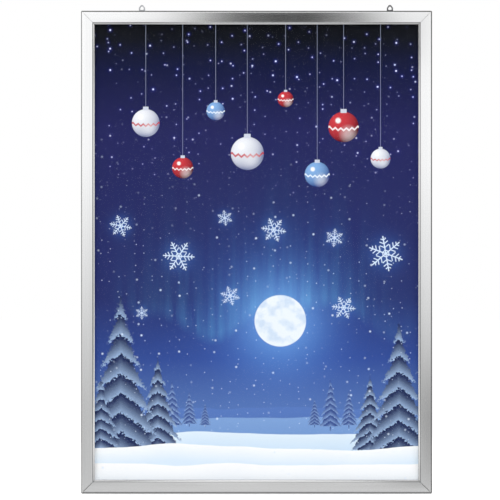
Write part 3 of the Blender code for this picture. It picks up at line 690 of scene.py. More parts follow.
def ball_group():
    """A glass ball on a thread: its disc, its round shading, the glint, its cap and the thread."""
    inputs = {"Across": 0.0, "Up": 0.0, "Radius": 15.0, "Top": 100.0}
    group, at = open_group("glass_ball", inputs, ["Disc", "Shade", "Glint", "Band", "Cap", "Thread"])
    across = at["Across"] / at["Radius"]
    up = at["Up"] / at["Radius"]

    def spot(middle, height, size, blur):
        return spread_of(across - middle, up - height).below(size, blur)

    reach = spread_of(across, up)
    bulge = (reach * reach).rest().step("MAXIMUM", 0.0).step("SQRT")
    shade = (across * -0.42 + up * 0.5 + bulge * 0.72).within(-0.2, 1.1)
    glint = spot(*BALL_GLINT)
    rim = spot(*BALL_RIM_LIGHT) * BALL_RIM_LEVEL
    bow = up + bulge * BAND_BOW
    wave = (across * BAND_WAVES).step("PINGPONG", 1.0) * BAND_WAVE
    band = (bow - wave + BAND_DROP).size().below(BAND_HALF, END_BLUR)
    cap = across.size().below(CAP_HALF_WIDTH, END_BLUR)
    cap = cap * (up - CAP_MIDDLE).size().below(CAP_HALF_HEIGHT, END_BLUR)
    thread = at["Across"].size().below(THREAD_HALF, THREAD_BLUR) * up.step("GREATER_THAN", THREAD_FOOT)
    return close_group(group, {"Disc": reach.below(1.0, END_BLUR), "Shade": shade,
                               "Glint": glint.step("MAXIMUM", rim), "Band": band, "Cap": cap,
                               "Thread": thread * at["Up"].below(at["Top"], 0.5)})


SMALL_WAVES_FASTER = 7.0
LONG_WAVE_SHARE, SMALL_WAVE_SHARE = 2.0, 0.12


def ridge_group():
    """A rolling crest of snow or hill: where it is, and how far below its crest a point lies."""
    inputs = {"Across": 0.0, "Up": 0.0, "Level": 0.0, "Swell": 10.0, "Length": 120.0, "Shift": 0.0}
    group, at = open_group("ridge", inputs, ["Mask", "Depth"])
    run = at["Across"] / at["Length"]
    long_wave = wave_along(group, run + at["Shift"], 1.0)
    small_wave = wave_along(group, run * SMALL_WAVES_FASTER + at["Shift"], 2.0)
    crest = at["Level"] + (long_wave - 0.5) * at["Swell"] * LONG_WAVE_SHARE
    crest = crest + (small_wave - 0.5) * at["Swell"] * SMALL_WAVE_SHARE
    depth = crest - at["Up"]
    return close_group(group, {"Mask": (depth * -1.0).below(0.0, 0.5), "Depth": depth})


snowflake = flake_group()
fir = fir_group()
glass_ball = ball_group()
ridge = ridge_group()

# Sky colours from the bottom of the picture to its top, by their share of its height
SKY_SHARES = (
    (0.00, ink(140, 180, 225)), (0.15, ink(85, 117, 180)), (0.27, ink(48, 73, 145)),
    (0.40, ink(37, 46, 104)), (0.76, ink(33, 35, 88)), (0.90, ink(12, 18, 57)), (0.96, ink(7, 11, 23)),
    (1.00, ink(2, 3, 3)),
)
# Stars: size of their cells, seed, and brightness. Falling flakes: size of their cells, seed, radius
STARS = ((17.0, 3.0, 1.0), (31.0, 40.0, 1.6))
FALLING = ((13.0, 11.0, 0.7), (29.0, 23.0, 1.5))
STAR_HALO, STAR_HALO_FALL, STAR_HALO_LEVEL = ink(58, 68, 190), 0.17, 0.45
STAR_CORE, STAR_RADIUS, STAR_BLUR, STAR_LEVEL = ink(226, 230, 255), 0.85, 0.7, 1.7
# The veil of lights: its two waves' pace, start and height, its foot, how it fades, and its level
VEIL_WAVES = ((0.021, 0.0, 26.0), (0.047, 1.3, 9.0))
VEIL, VEIL_FOOT, VEIL_FALL, VEIL_LEVEL = ink(96, 176, 226), 92.0, 0.016, 0.42
VEIL_MIDDLE, VEIL_HALF, VEIL_BLUR = 10.0, 150.0, 190.0
# The moon: across, up, radius. Its glows: width, level, colour
MOON = (36.0, -104.0, 39.0)
MOON_GLOWS = ((105.0, 0.6, ink(44, 84, 176)), (60.0, 0.75, ink(104, 160, 226)))
MOON_FACE, MOON_SEAS = ink(236, 244, 252), ink(168, 200, 234)
# Crests of hill and snow, far to near: level, swell, length, shift, the crest's colour, the colour
# below it, and how far down that is reached
FAR_HILLS = (
    (-236.0, 7.0, 90.0, 4.0, ink(88, 122, 190), ink(78, 110, 182), 60.0),
    (-251.0, 6.0, 130.0, 9.0, ink(128, 164, 216), ink(112, 150, 208), 40.0),
)
FAR_SNOW = (-275.0, 9.0, 170.0, 2.0, ink(226, 241, 252), ink(206, 228, 248), 26.0)
NEAR_SNOW = (
    (-296.0, 10.0, 210.0, 16.0, ink(252, 254, 255), ink(222, 238, 252), 26.0),
    (-322.0, 8.0, 150.0, 31.0, ink(255, 255, 255), ink(240, 247, 254), 30.0),
)
# Balls: across, up, radius, kind. Their colours: in the shade, in the light, and of the band
BALLS = (
    (-168.0, 196.0, 21.0, "white"), (-112.0, 128.0, 16.0, "red"), (-62.0, 214.0, 14.0, "blue"),
    (-14.0, 150.0, 25.0, "white"), (44.0, 232.0, 12.0, "red"), (92.0, 118.0, 19.0, "blue"),
    (132.0, 190.0, 23.0, "red"), (188.0, 142.0, 15.0, "white"),
)
BALL_COLOURS = {
    "white": (ink(120, 130, 165), ink(250, 252, 255), ink(196, 52, 62)),
    "red": (ink(84, 14, 30), ink(214, 62, 70), ink(250, 244, 246)),
    "blue": (ink(38, 62, 130), ink(140, 186, 236), ink(240, 248, 255)),
}
THREAD, CAP, GLINT = ink(176, 186, 214), ink(206, 212, 226), ink(255, 255, 255)
# Firs: across, foot, height, half width. Their colours: dark, snowy, and how much of the snow shows
FAR_FIRS = (
    (-128.0, -262.0, 66.0, 18.0), (-102.0, -260.0, 48.0, 14.0), (-78.0, -262.0, 34.0, 10.0),
    (88.0, -262.0, 40.0, 12.0), (112.0, -264.0, 70.0, 19.0), (140.0, -262.0, 52.0, 15.0),
)
NEAR_FIRS = (
    (-150.0, -298.0, 138.0, 40.0), (-206.0, -302.0, 236.0, 66.0), (-236.0, -312.0, 120.0, 38.0),
    (172.0, -300.0, 112.0, 33.0), (216.0, -304.0, 196.0, 56.0),
)
FAR_FIR_COLOURS = (ink(48, 72, 140), ink(160, 192, 236), 0.75)
NEAR_FIR_COLOURS = (ink(18, 30, 78), ink(178, 208, 246), 0.85)
# Large snowflakes: across, up, size, turn
FLAKES = (
    (-206.0, 40.0, 17.0, 0.20), (-118.0, -6.0, 24.0, 0.05), (-48.0, 52.0, 12.0, 0.40),
    (26.0, 34.0, 19.0, 0.15), (118.0, 22.0, 14.0, 0.60), (196.0, -2.0, 27.0, 0.35),
    (-40.0, -66.0, 15.0, 0.25), (132.0, -84.0, 18.0, 0.10), (-174.0, -92.0, 10.0, 0.50),
)
FLAKE, FALLING_FLAKE = ink(222, 238, 255), ink(224, 238, 255)
FLAKE_GLOW, FLAKE_GLOW_FALL = ink(70, 130, 220), 1.4


class Picture:
    """Builds the print layer by layer. Each layer covers the ones under it through its mask."""

    def __init__(self, tree, place):
        self.tree = tree
        self.point = add_node(tree, "ShaderNodeMapping", {
            "Vector": place, "Location": (0, 0, -POSTER_MIDDLE * MILLIMETRES),
            "Scale": (MILLIMETRES, MILLIMETRES, MILLIMETRES)}).outputs[0]
        self.across, _, self.up = parts_of(tree, self.point)
        self.colour = None

    def cover(self, mask, colour):
        self.colour = blend_colours(self.tree, mask, self.colour, colour)

    def light(self, mask, colour):
        """Adds light instead of covering."""
        self.colour = blend_colours(self.tree, mask, self.colour, colour, "SCREEN")

    def use(self, group, values, across=0.0, up=0.0):
        """Places a motif's group with its middle or foot at a point of the picture."""
        values = {"Across": self.across - across, "Up": self.up - up, **values}
        return use_group(self.tree, group, values)

    def cells(self, size, seed):
        """Scattered points, one to a cell: how far the nearest is, and its own chance values."""
        turned = add_node(self.tree, "ShaderNodeMapping", {
            "Vector": self.point, "Location": (seed, seed, 0), "Rotation": (-math.pi / 2, 0, 0),
            "Scale": (1 / size, 1 / size, 1 / size)})
        voronoi = add_node(self.tree, "ShaderNodeTexVoronoi", voronoi_dimensions="2D")
        feed(self.tree, voronoi.inputs["Vector"], turned.outputs[0])
        feed(self.tree, voronoi.inputs["Scale"], 1.0)
        chances = add_node(self.tree, "ShaderNodeSeparateColor", {"Color": voronoi.outputs["Color"]})
        return (Measure(self.tree, voronoi.outputs["Distance"]) * size,
                Measure(self.tree, chances.outputs[0]), Measure(self.tree, chances.outputs[1]))


def paint_sky(picture):
    """A ramp of the sky's colours. A new ramp has two stops already."""
    ramp = picture.tree.nodes.new("ShaderNodeValToRGB")
    stops = ramp.color_ramp.elements
    for share, _ in SKY_SHARES[2:]:
        stops.new(share)
    for stop, (share, colour) in zip(stops, SKY_SHARES):
        stop.position = share
        stop.color = colour
    height = picture.up.within(-POSTER_HALF_HEIGHT, POSTER_HALF_HEIGHT)
    feed(picture.tree, ramp.inputs[0], height)
    picture.colour = ramp.outputs[0]


def soft_spot(reach, fall):
    """A round glow that is 1 at its middle."""
    return (reach * reach * -fall).step("EXPONENT")


def paint_stars(picture):
    """Stars with soft halos over the upper part."""
    for size, seed, brightness in STARS:
        far, chance, hue = picture.cells(size, seed)
        strength = chance.step("POWER", 3.0) * (picture.up + hue * 60.0).within(110.0, 300.0)
        halo = soft_spot(far, STAR_HALO_FALL / brightness) * strength * STAR_HALO_LEVEL
        picture.light(halo, STAR_HALO)
        core = far.below(STAR_RADIUS * brightness, STAR_BLUR) * (strength * STAR_LEVEL).held()
        picture.cover(core, STAR_CORE)


def paint_northern_lights(picture):
    """A veil of rays that stands on a waving foot, and fades upwards and to the sides."""
    swings = [(picture.across * pace + start).step("SINE") * height
              for pace, start, height in VEIL_WAVES]
    lift = picture.up - (swings[0] + swings[1]) + VEIL_FOOT
    rays = noise(picture.tree, stretched(picture.tree, picture.point, (0.07, 0, 0.004)), 1.0, 3.0, 0.6)
    veil = lift.within(-16.0, 4.0) * (lift.step("MAXIMUM", 0.0) * -VEIL_FALL).step("EXPONENT")
    fade = (picture.across - VEIL_MIDDLE).size().below(VEIL_HALF, VEIL_BLUR)
    picture.light(veil * rays.within(0.32, 0.78) * fade * VEIL_LEVEL, VEIL)


def paint_moon(picture):
    across, up, radius = MOON
    reach = spread_of(picture.across - across, picture.up - up)
    for width, level, colour in MOON_GLOWS:
        picture.light(soft_spot(reach, 1 / width ** 2) * level, colour)
    seas = noise(picture.tree, picture.point, 0.055, 3.0).within(0.45, 0.62)
    face = blend_colours(picture.tree, seas * 0.45, MOON_FACE, MOON_SEAS)
    picture.cover(reach.below(radius, 1.2), face)


def paint_ground(picture, level, swell, length, shift, crest, deep, fall):
    """A crest of hill or snow, light along its top and deeper in colour below."""
    land = picture.use(ridge, {"Level": level, "Swell": swell, "Length": length, "Shift": shift})
    grains = noise(picture.tree, picture.point, 0.5, 3.0, 0.7) * 0.16 - 0.08
    tone = (land["Depth"] / fall + grains).held()
    picture.cover(land["Mask"], blend_colours(picture.tree, tone, crest, deep))


def paint_firs(picture, firs, ragged, dark, snowy, haze):
    for across, foot, height, width in firs:
        made = picture.use(fir, {"Height": height, "Width": width, "Ragged": ragged}, across, foot)
        colour = blend_colours(picture.tree, made["Snow"] * haze, dark, snowy)
        picture.cover(made["Mask"], colour)


def paint_balls(picture):
    for across, up, radius, kind in BALLS:
        made = picture.use(glass_ball, {"Radius": radius, "Top": POSTER_HALF_HEIGHT - up}, across, up)
        deep, bright, trim = BALL_COLOURS[kind]
        picture.cover(made["Thread"] * 0.55, THREAD)
        body = blend_colours(picture.tree, made["Shade"], deep, bright)
        body = blend_colours(picture.tree, made["Band"] * 0.85, body, trim)
        body = blend_colours(picture.tree, made["Glint"], body, GLINT)
        picture.cover(made["Disc"], body)
        picture.cover(made["Cap"], CAP)


def paint_flakes(picture):
    """Large snowflakes with a soft glow, and small round flakes that fall all over."""
    for across, up, size, turn in FLAKES:
        made = picture.use(snowflake, {"Size": size, "Turn": turn}, across, up)
        reach = spread_of(picture.across - across, picture.up - up)
        picture.light(soft_spot(reach, FLAKE_GLOW_FALL / size ** 2) * 0.30, FLAKE_GLOW)
        picture.cover(made["Mask"] * 0.9, FLAKE)
    for size, seed, radius in FALLING:
        far, chance, hue = picture.cells(size, seed)
        strength = chance.within(0.45, 1.0) * (picture.up * -1.0 + hue * 90.0).within(-120.0, 60.0)
        picture.cover(far.below(radius, radius) * strength * 0.8, FALLING_FLAKE)


def poster_finish():
    material, tree, shader, place = new_finish("night_print")
    picture = Picture(tree, place)
    paint_sky(picture)
    paint_stars(picture)
    paint_northern_lights(picture)
    paint_moon(picture)
    for crest in FAR_HILLS:
        paint_ground(picture, *crest)
    ragged = noise(tree, picture.point, 0.30, 3.0, 0.65) - 0.5
    paint_firs(picture, FAR_FIRS, ragged, *FAR_FIR_COLOURS)
    paint_ground(picture, *FAR_SNOW)
    paint_firs(picture, NEAR_FIRS, ragged, *NEAR_FIR_COLOURS)
    for crest in NEAR_SNOW:
        paint_ground(picture, *crest)
    paint_flakes(picture)
    paint_balls(picture)
    printed = blend_colours(tree, PRINT_SHARE, (0, 0, 0, 1), picture.colour)
    feed(tree, shader.inputs["Emission Color"], picture.colour)
    shader.inputs["Emission Strength"].default_value = BACKLIGHT_SHARE
    film = noise(tree, place, 2600, 2.0, 0.6)
    coat(tree, shader, printed, film * 0.12 + 0.42)
    shader.inputs["Specular IOR Level"].default_value = 0.05
    bumped(tree, shader, film, 0.05, FINE_HEIGHT)
    return material


finish_node("poster_sheet", poster_finish())


# Clear cover: a thin anti-glare plastic sheet that protects the poster. It lies loose in the
# pocket, under the legs of the snap rails.

COVER_COLOUR = (0.20, 0.21, 0.23, 1)


def cover_finish():
    material, tree, shader, place = new_finish("clear_cover")
    marks = marks_on(tree, place, 6.0)
    skin = noise(tree, place, 1500, 2.0)
    coat(tree, shader, COVER_COLOUR, marks * 0.08 + 0.10)
    feed(tree, shader.inputs["Alpha"], marks * 0.008 + 0.006)
    shader.inputs["Specular IOR Level"].default_value = 0.5
    bumped(tree, shader, skin, 0.02, FINE_HEIGHT)
    return material


finish_node("cover_sheet", cover_finish())


# Spring clips: hairpins of blued spring strip between base rail and snap rail. They hold a snap
# rail shut, and throw it open past its middle.

STRIP_GRAIN = (60, 900, 60)
spring_strip = drawn_metal("spring_strip", (0.24, 0.25, 0.29), (0.42, 0.43, 0.47), 0.28, STRIP_GRAIN)
for side, count in each_side(2, 3):
    for number in range(1, count + 1):
        finish_node("spring_clip_" + side + "_" + str(number), spring_strip)


# Snap rails: thin anodised extrusions with a stepped lip and a shallow bevel beside the rounded
# outer edge, mitred at 45 degrees. Each turns on its bead in the base rail's socket. Painted shade
# darkens them along the step, the outer edges and the lip's inner edge, in the lower mitres and in the
# upper lip's ends.

RAIL_ROUNDING, RAIL_ROUNDING_STEPS = 0.00012, 2
SAME_POINT = 0.00001
SAME_PLANE = math.radians(1)
LIP_EDGE = 0.021
LIP_SHARE = 0.79
STEP_START = 0.0162
ROUND_START = 0.0198
FRONT_DEPTH = 0.0015
LIP_TOP_DEPTH = 0.0008
LEG_DEPTH = 0.0030
LIP_FLATNESS = 0.55
MITRE_CLOSING = 0.00028
FREE_EDGE = 0.0002
STEP_INSET = 0.0179
# Shares of painted shade, by distances from the outline. Over CHANGE_OVER to either side of the frame's
# middle, the painted shade of the bottom or left rail passes into that of the top or right one.
CHANGE_OVER = 0.1
STEP_SHADE_WIDTH = 0.0006
STEP_SHADE = 0.75
LOW_STEP_SHARE, SIDE_STEP_SHARE, MORE_STEP_SHARE = 0.65, 0.82, 0.35
SIDE_STEP_RISE = (-0.3, 0.2)
EDGE_SHADE_WIDTH = 0.0011
WIDER_EDGE_SHADE = 0.0005
EDGE_SHADE = 1.0
BOTTOM_EDGE_SHADE = 0.9
LEFT_EDGE_SHADE = 0.6
LIP_EDGE_SHADE = 0.35
LOW_LIP_EDGE_SHADE = 0.75
LOW_LIP_FALL = (-0.1, -0.2)
LIP_EDGE_START, LIP_EDGE_FULL = LIP_EDGE - 0.0006, LIP_EDGE - 0.0003
SEAM_SHADE_WIDTH = 0.0007
SEAM_SHADE = 0.65
TOP_SEAM_SHADE = 0.10
LIP_END_SHADE = 0.58
LIP_END_RISE = (0.06, 0.20)
PALE_STEP_CENTRE, PALE_STEP_HALF, PALE_STEP_BLUR = 0.02, 0.15, 0.08
# The rounded outer edge's points: their distance from the outline as extruded, then that distance
# and their depth with the shallow bevel that the edge ends in.
EDGE_POINTS = ((0.00008, 0.00009, 0.00118), (0.00031, 0.00035, 0.00093), (0.00066, 0.00078, 0.00064),
               (0.00111, 0.00135, 0.00037), (0.00160, 0.00290, 0.00013))
EDGE_POINT_REACH = 0.00005
OUTLINE_LEFT, OUTLINE_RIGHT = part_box("snap_rail_left")[0].x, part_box("snap_rail_right")[1].x
OUTLINE_BOTTOM, OUTLINE_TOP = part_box("snap_rail_bottom")[0].z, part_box("snap_rail_top")[1].z
OUTLINE_MIDDLE = (OUTLINE_BOTTOM + OUTLINE_TOP) / 2
RAIL_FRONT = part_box("snap_rail_top")[0].y


def rail_painted_shade(lying):
    """Where painted shade darkens a snap rail, by the distances from the frame's outline."""

    def shade_at(tree, place):
        across, _, height = parts_of(tree, place)
        up = height - OUTLINE_MIDDLE
        from_side = across.size().step("MULTIPLY_ADD", -1, (OUTLINE_RIGHT - OUTLINE_LEFT) / 2)
        from_end = up.size().step("MULTIPLY_ADD", -1, (OUTLINE_TOP - OUTLINE_BOTTOM) / 2)
        inset = from_end if lying else from_side
        far = (up if lying else across).within(-CHANGE_OVER, CHANGE_OVER)
        # Painted shade along the step's groove, paler in the top rail's middle.
        painted_dark = (inset - STEP_INSET).size().below(STEP_SHADE_WIDTH, STEP_SHADE_WIDTH / 2) * STEP_SHADE
        if lying:
            painted_dark = painted_dark * (far * MORE_STEP_SHARE + LOW_STEP_SHARE)
            paler_step = (across - PALE_STEP_CENTRE).size().below(PALE_STEP_HALF, PALE_STEP_BLUR) * far
            painted_dark = painted_dark * paler_step.rest()
        else:
            rise = up.ramp(*SIDE_STEP_RISE, MORE_STEP_SHARE)
            painted_dark = painted_dark * (far.rest() * rise + SIDE_STEP_SHARE)
        # Painted shade along the outer edges, darkest on the top and right rails.
        near_edge = BOTTOM_EDGE_SHADE if lying else LEFT_EDGE_SHADE
        edge_level = far * (EDGE_SHADE - near_edge) + near_edge
        from_wider = inset - far * WIDER_EDGE_SHADE
        painted_dark = painted_dark.step("MAXIMUM", from_wider.below(EDGE_SHADE_WIDTH, EDGE_SHADE_WIDTH) * edge_level)
        # Painted shade along the lip's inner edge, darker on the lower part of the frame.
        lip_level = up.ramp(*LOW_LIP_FALL, LOW_LIP_EDGE_SHADE - LIP_EDGE_SHADE) + LIP_EDGE_SHADE
        painted_dark = painted_dark.step("MAXIMUM", inset.within(LIP_EDGE_START, LIP_EDGE_FULL) * lip_level)
        # Painted shade in the mitre seams, mostly in the lower ones.
        seam = (from_side - from_end).size().below(SEAM_SHADE_WIDTH, SEAM_SHADE_WIDTH)
        seam_level = up.ramp(CHANGE_OVER, -CHANGE_OVER, SEAM_SHADE) + TOP_SEAM_SHADE
        painted_dark = painted_dark.step("MAXIMUM", seam * seam_level)
        # Painted shade at the ends of the top rail's lip.
        if lying:
            lip_end = across.size().ramp(*LIP_END_RISE, LIP_END_SHADE) * far
            painted_dark = painted_dark.step("MAXIMUM", inset.within(STEP_INSET, STEP_INSET + STEP_SHADE_WIDTH) * lip_end)
        return painted_dark

    return shade_at


def fit_rail(side):
    """Closes the mitres to a hairline, but leaves the outermost edge's corners free to pass each other
    when all the rails are open. Sets the lip's step further in, and makes the lip flatter."""
    over, along = (2, 0) if side in ("top", "bottom") else (0, 2)
    outer, way = {"top": (OUTLINE_TOP, -1), "bottom": (OUTLINE_BOTTOM, 1),
                  "left": (OUTLINE_LEFT, 1), "right": (OUTLINE_RIGHT, -1)}[side]
    middle = (0, 0, OUTLINE_MIDDLE)[along]

    def shape(vertices):
        reach = max(abs(vertex.co[along] - middle) + (vertex.co[over] - outer) * way
                    for vertex in vertices)
        for vertex in vertices:
            inset = (vertex.co[over] - outer) * way
            end = 1 if vertex.co[along] > middle else -1
            if abs(vertex.co[along] - middle) + inset > reach - MITRE_CLOSING and inset > FREE_EDGE:
                vertex.co[along] += end * MITRE_CLOSING
            depth = vertex.co.y - RAIL_FRONT
            for extruded, bevelled, bevel_depth in EDGE_POINTS:
                if abs(inset - extruded) < EDGE_POINT_REACH and depth < FRONT_DEPTH:
                    vertex.co[over] += way * (bevelled - inset)
                    vertex.co[along] -= end * (bevelled - inset)
                    vertex.co.y = RAIL_FRONT + bevel_depth
            if inset > STEP_START and (depth < FRONT_DEPTH or inset > ROUND_START):
                move = (LIP_EDGE - inset) * (1 - LIP_SHARE)
                vertex.co[over] += way * move
                vertex.co[along] -= end * move
                if LIP_TOP_DEPTH < depth < LEG_DEPTH:
                    vertex.co.y -= (depth - LIP_TOP_DEPTH) * (1 - LIP_FLATNESS)

    return shape


def refine_copy(node, name, rounding, segments, reshape):
    """A CAD node's shape with its flat faces joined again, reshaped, and with its edges softened."""
    start_piece()
    piece = bpy.data.objects.new(name, nodes[node].data.copy())
    piece.data.name = name
    bpy.context.scene.collection.objects.link(piece)
    piece.select_set(True)
    bpy.context.view_layer.objects.active = piece
    bpy.ops.object.mode_set(mode="EDIT")
    bpy.ops.mesh.select_all(action="SELECT")
    bpy.ops.mesh.remove_doubles(threshold=SAME_POINT)
    bpy.ops.mesh.dissolve_limited(angle_limit=SAME_PLANE)
    bpy.ops.object.mode_set(mode="OBJECT")
    reshape(piece.data.vertices)
    round_edges(piece, rounding, segments)
    settle(piece)
    work_with(piece, "WEIGHTED_NORMAL", keep_sharp=True)
    return piece


# The snap rails' silver carries painted shade.
lying_front = silver("snap_silver_lying", LYING_GRAIN, rail_painted_shade(lying=True))
upright_front = silver("snap_silver_upright", UPRIGHT_GRAIN, rail_painted_shade(lying=False))
for side, finish in each_side(lying_front, upright_front):
    rail = refine_copy("snap_rail_" + side, "front_rail_" + side, RAIL_ROUNDING, RAIL_ROUNDING_STEPS,
                       fit_rail(side))
    dress(rail, finish, "anodised_aluminium", "snap_" + side, "snap_rail_" + side)


# Hangers: punched zinc-plated eyes that slide in the top rail's rear groove, each clamped by
# a pan-head screw with a cross recess and a square nut in the channel. The right eye has a darker copy
# of the zinc, painted shade.

HANGER_ROUNDING, HANGER_ROUNDING_STEPS = 0.00025, 3
EYE_NARROW_FROM = 0.0035
EYE_NARROW_TO = 0.0078
EYE_NARROWEST_SHARE = 0.68
EYE_FLOOR_BELOW = 0.0012
EYE_FLOOR_LIFT = 0.0013
EYE_FLOOR_SHARE = 0.82
SCREW_SIDES = 32
SCREW_SHANK_SHARE = 0.6
SCREW_HEAD_LENGTH = 0.0010
SCREW_CROWN, SCREW_CROWN_STEPS = 0.0004, 4
CROSS_LENGTH_SHARE = 0.6
CROSS_WIDTH_SHARE = 0.16
CROSS_DEPTH = 0.0006


def shape_eye(side):
    """Narrows the eye towards its top, and lifts the hole's floor with its corners drawn in."""
    centre = middle_of("hanger_" + side).x

    def shape(vertices):
        for vertex in vertices:
            rise = vertex.co.z - OUTLINE_TOP
            narrowed = min(max((rise - EYE_NARROW_FROM) / (EYE_NARROW_TO - EYE_NARROW_FROM), 0), 1)
            narrowed = narrowed * narrowed * (3 - 2 * narrowed)
            width = 1 - (1 - EYE_NARROWEST_SHARE) * narrowed
            if 0 < rise < EYE_FLOOR_BELOW:
                width = EYE_FLOOR_SHARE
                vertex.co.z += EYE_FLOOR_LIFT
            vertex.co.x = centre + (vertex.co.x - centre) * width

    return shape


def model_cross_screw(node):
    """The shank's end is drawn out into the head, whose rim is rounded and whose cross is cut in."""
    low, high, centre, radius = round_place(node)
    start_piece()
    shank_length = high.y - low.y - SCREW_HEAD_LENGTH
    add_rod(SCREW_SIDES, radius * SCREW_SHANK_SHARE, shank_length,
            (centre.x, low.y + shank_length / 2, centre.z), ALONG_DEPTH)
    screw = name_piece("hanger_screw_first")
    select_faces(screw, lambda normal: normal.y > FACING)
    draw_out((0, 0, 0))
    spread = 1 / SCREW_SHANK_SHARE
    bpy.ops.transform.resize(value=(spread, 1, spread))
    draw_out((0, SCREW_HEAD_LENGTH, 0))
    bpy.ops.mesh.bevel(offset=SCREW_CROWN, segments=SCREW_CROWN_STEPS, affect="EDGES")
    bpy.ops.object.mode_set(mode="OBJECT")
    slot = (2 * radius * CROSS_LENGTH_SHARE, 2 * CROSS_DEPTH, 2 * radius * CROSS_WIDTH_SHARE)
    for turn in (0, math.pi / 2):
        bpy.ops.mesh.primitive_cube_add(size=1, location=(centre.x, high.y, centre.z),
                                        rotation=(0, turn, 0), scale=slot)
        cut_out(screw, bpy.context.object)
    return settle(screw)


# Painted shade: the right eye's zinc is a darker copy of the plate on the left eye.
shaded_zinc = drawn_metal("shaded_zinc", (0.14, 0.14, 0.145), (0.25, 0.25, 0.26), 0.34, PLATED_GRAIN)
for side, eye_zinc in (("left", zinc_plate), ("right", shaded_zinc)):
    body = side + "_hanger"
    node = "hanger_screw_" + side
    eye = refine_copy("hanger_" + side, "hanging_eye_" + side, HANGER_ROUNDING, HANGER_ROUNDING_STEPS,
                      shape_eye(side))
    dress(eye, eye_zinc, "zinc_steel", body, "hanger_" + side)
    screw = model_cross_screw(node)
    screw.name = "cross_screw_" + side
    dress(screw, zinc_plate, "zinc_steel", body, node)
    finish_node("hanger_nut_" + side, zinc_plate)


# Studio: a pale floor just under the frame, a white surround, and two cards that only glossy
# surfaces see. One glows in front of the frame, with a dark gap over the top rail and a dark
# border, and a dark one lies on the floor before the frame.

FLOOR_DARK, FLOOR_LIGHT = (0.90, 0.90, 0.90), (0.92, 0.92, 0.92)
FLOOR_SEEN_LIFT, FLOOR_MIRRORED_LIFT = 0.46, 0.12
FLOOR_HALF = 30.0
FLOOR_GAP = 0.002
CARD_DISTANCE = 0.25
CARD_HALF = 1.3
# The card's light. Ramps run from one place to another, in metres, up to a level.
CARD_BASE = 0.53
CARD_RISE, CARD_TOP_RISE = (-0.24, 0.14, 0.47), (0.17, 0.33, 0.015)
LOW_DIP_HEIGHT, LOW_DIP_REACH, LOW_DIP_SIDE = -0.257, 0.10, (0.18, 0.25, 0.19)
TOP_DIP_SIDE, TOP_DIP_HEIGHT = (0.235, 0.26), (0.26, 0.34, 0.11)
INSIDE_HALF_WIDTH, INSIDE_HALF_HEIGHT = (0.217, 0.012), (0.32, 0.02)
LOWER_SLOPE, LOWER_EDGE, LOWER_LEVEL = 1.5, (0.02, 0.05), 0.97
UPPER_SLOPE, UPPER_EDGE, UPPER_LEVEL = 1.12, (-0.07, 0.04), 0.50
SIDES_RISE, SIDES_BASE = (-0.15, 0.25, 0.62), 0.35
GAP_MIDDLE, GAP_HALF, GAP_SHARPNESS, GAP_DARKNESS = 0.044, 0.150, 3.2, 0.97
GAP_FOOT, GAP_TOP = (0.292, 0.312), (0.450, 0.435)
BORDER_ACROSS, BORDER_UP, BORDER_LEVEL = (0.42, 0.45), (0.50, 0.53), 0.20
BEYOND_ACROSS, BEYOND_UP, BEYOND_RISE = (0.60, 0.85), (0.70, 0.95), 0.4
FLAG_DEPTH = 0.24
FLAG_LIFT = 0.0006
FLAG_RISE = (0.008, 0.020, 0.45)


def ray_shares(tree):
    """The rays from the camera or through clear sheet, and those off metal."""
    path = tree.nodes.new("ShaderNodeLightPath")
    direct = Measure(tree, path.outputs["Is Camera Ray"])
    direct = direct.step("MAXIMUM", Measure(tree, path.outputs["Is Transmission Ray"]))
    return direct, Measure(tree, path.outputs["Is Glossy Ray"])


def floor_finish():
    """White where it is lit and grey in the frame's shadow. It isn't seen from below."""
    material, tree, shader, place = new_finish("floor_white")
    speckle = noise(tree, place, 40, 2.0)
    coat(tree, shader, tint(tree, speckle, FLOOR_DARK, FLOOR_LIGHT), 0.9)
    shader.inputs["Specular IOR Level"].default_value = 0.0
    lift = tree.nodes.new("ShaderNodeEmission")
    direct, mirrored = ray_shares(tree)
    feed(tree, lift.inputs["Strength"], direct * FLOOR_SEEN_LIFT + mirrored * FLOOR_MIRRORED_LIFT)
    both = tree.nodes.new("ShaderNodeAddShader")
    tree.links.new(shader.outputs[0], both.inputs[0])
    tree.links.new(lift.outputs[0], both.inputs[1])
    under = tree.nodes.new("ShaderNodeMixShader")
    tree.links.new(tree.nodes.new("ShaderNodeNewGeometry").outputs["Backfacing"], under.inputs[0])
    tree.links.new(both.outputs[0], under.inputs[1])
    tree.links.new(tree.nodes.new("ShaderNodeBsdfTransparent").outputs[0], under.inputs[2])
    tree.links.new(under.outputs[0], tree.nodes["Material Output"].inputs["Surface"])
    return material


def glow_finish(name, level_at):
    """A surface that only glows, at the level that a function of the place gives."""
    material, tree, shader, place = new_finish(name)
    tree.nodes.remove(shader)
    level = level_at(parts_of(tree, place))
    glow = add_node(tree, "ShaderNodeEmission", {"Strength": level})
    tree.links.new(glow.outputs[0], tree.nodes["Material Output"].inputs["Surface"])
    return material


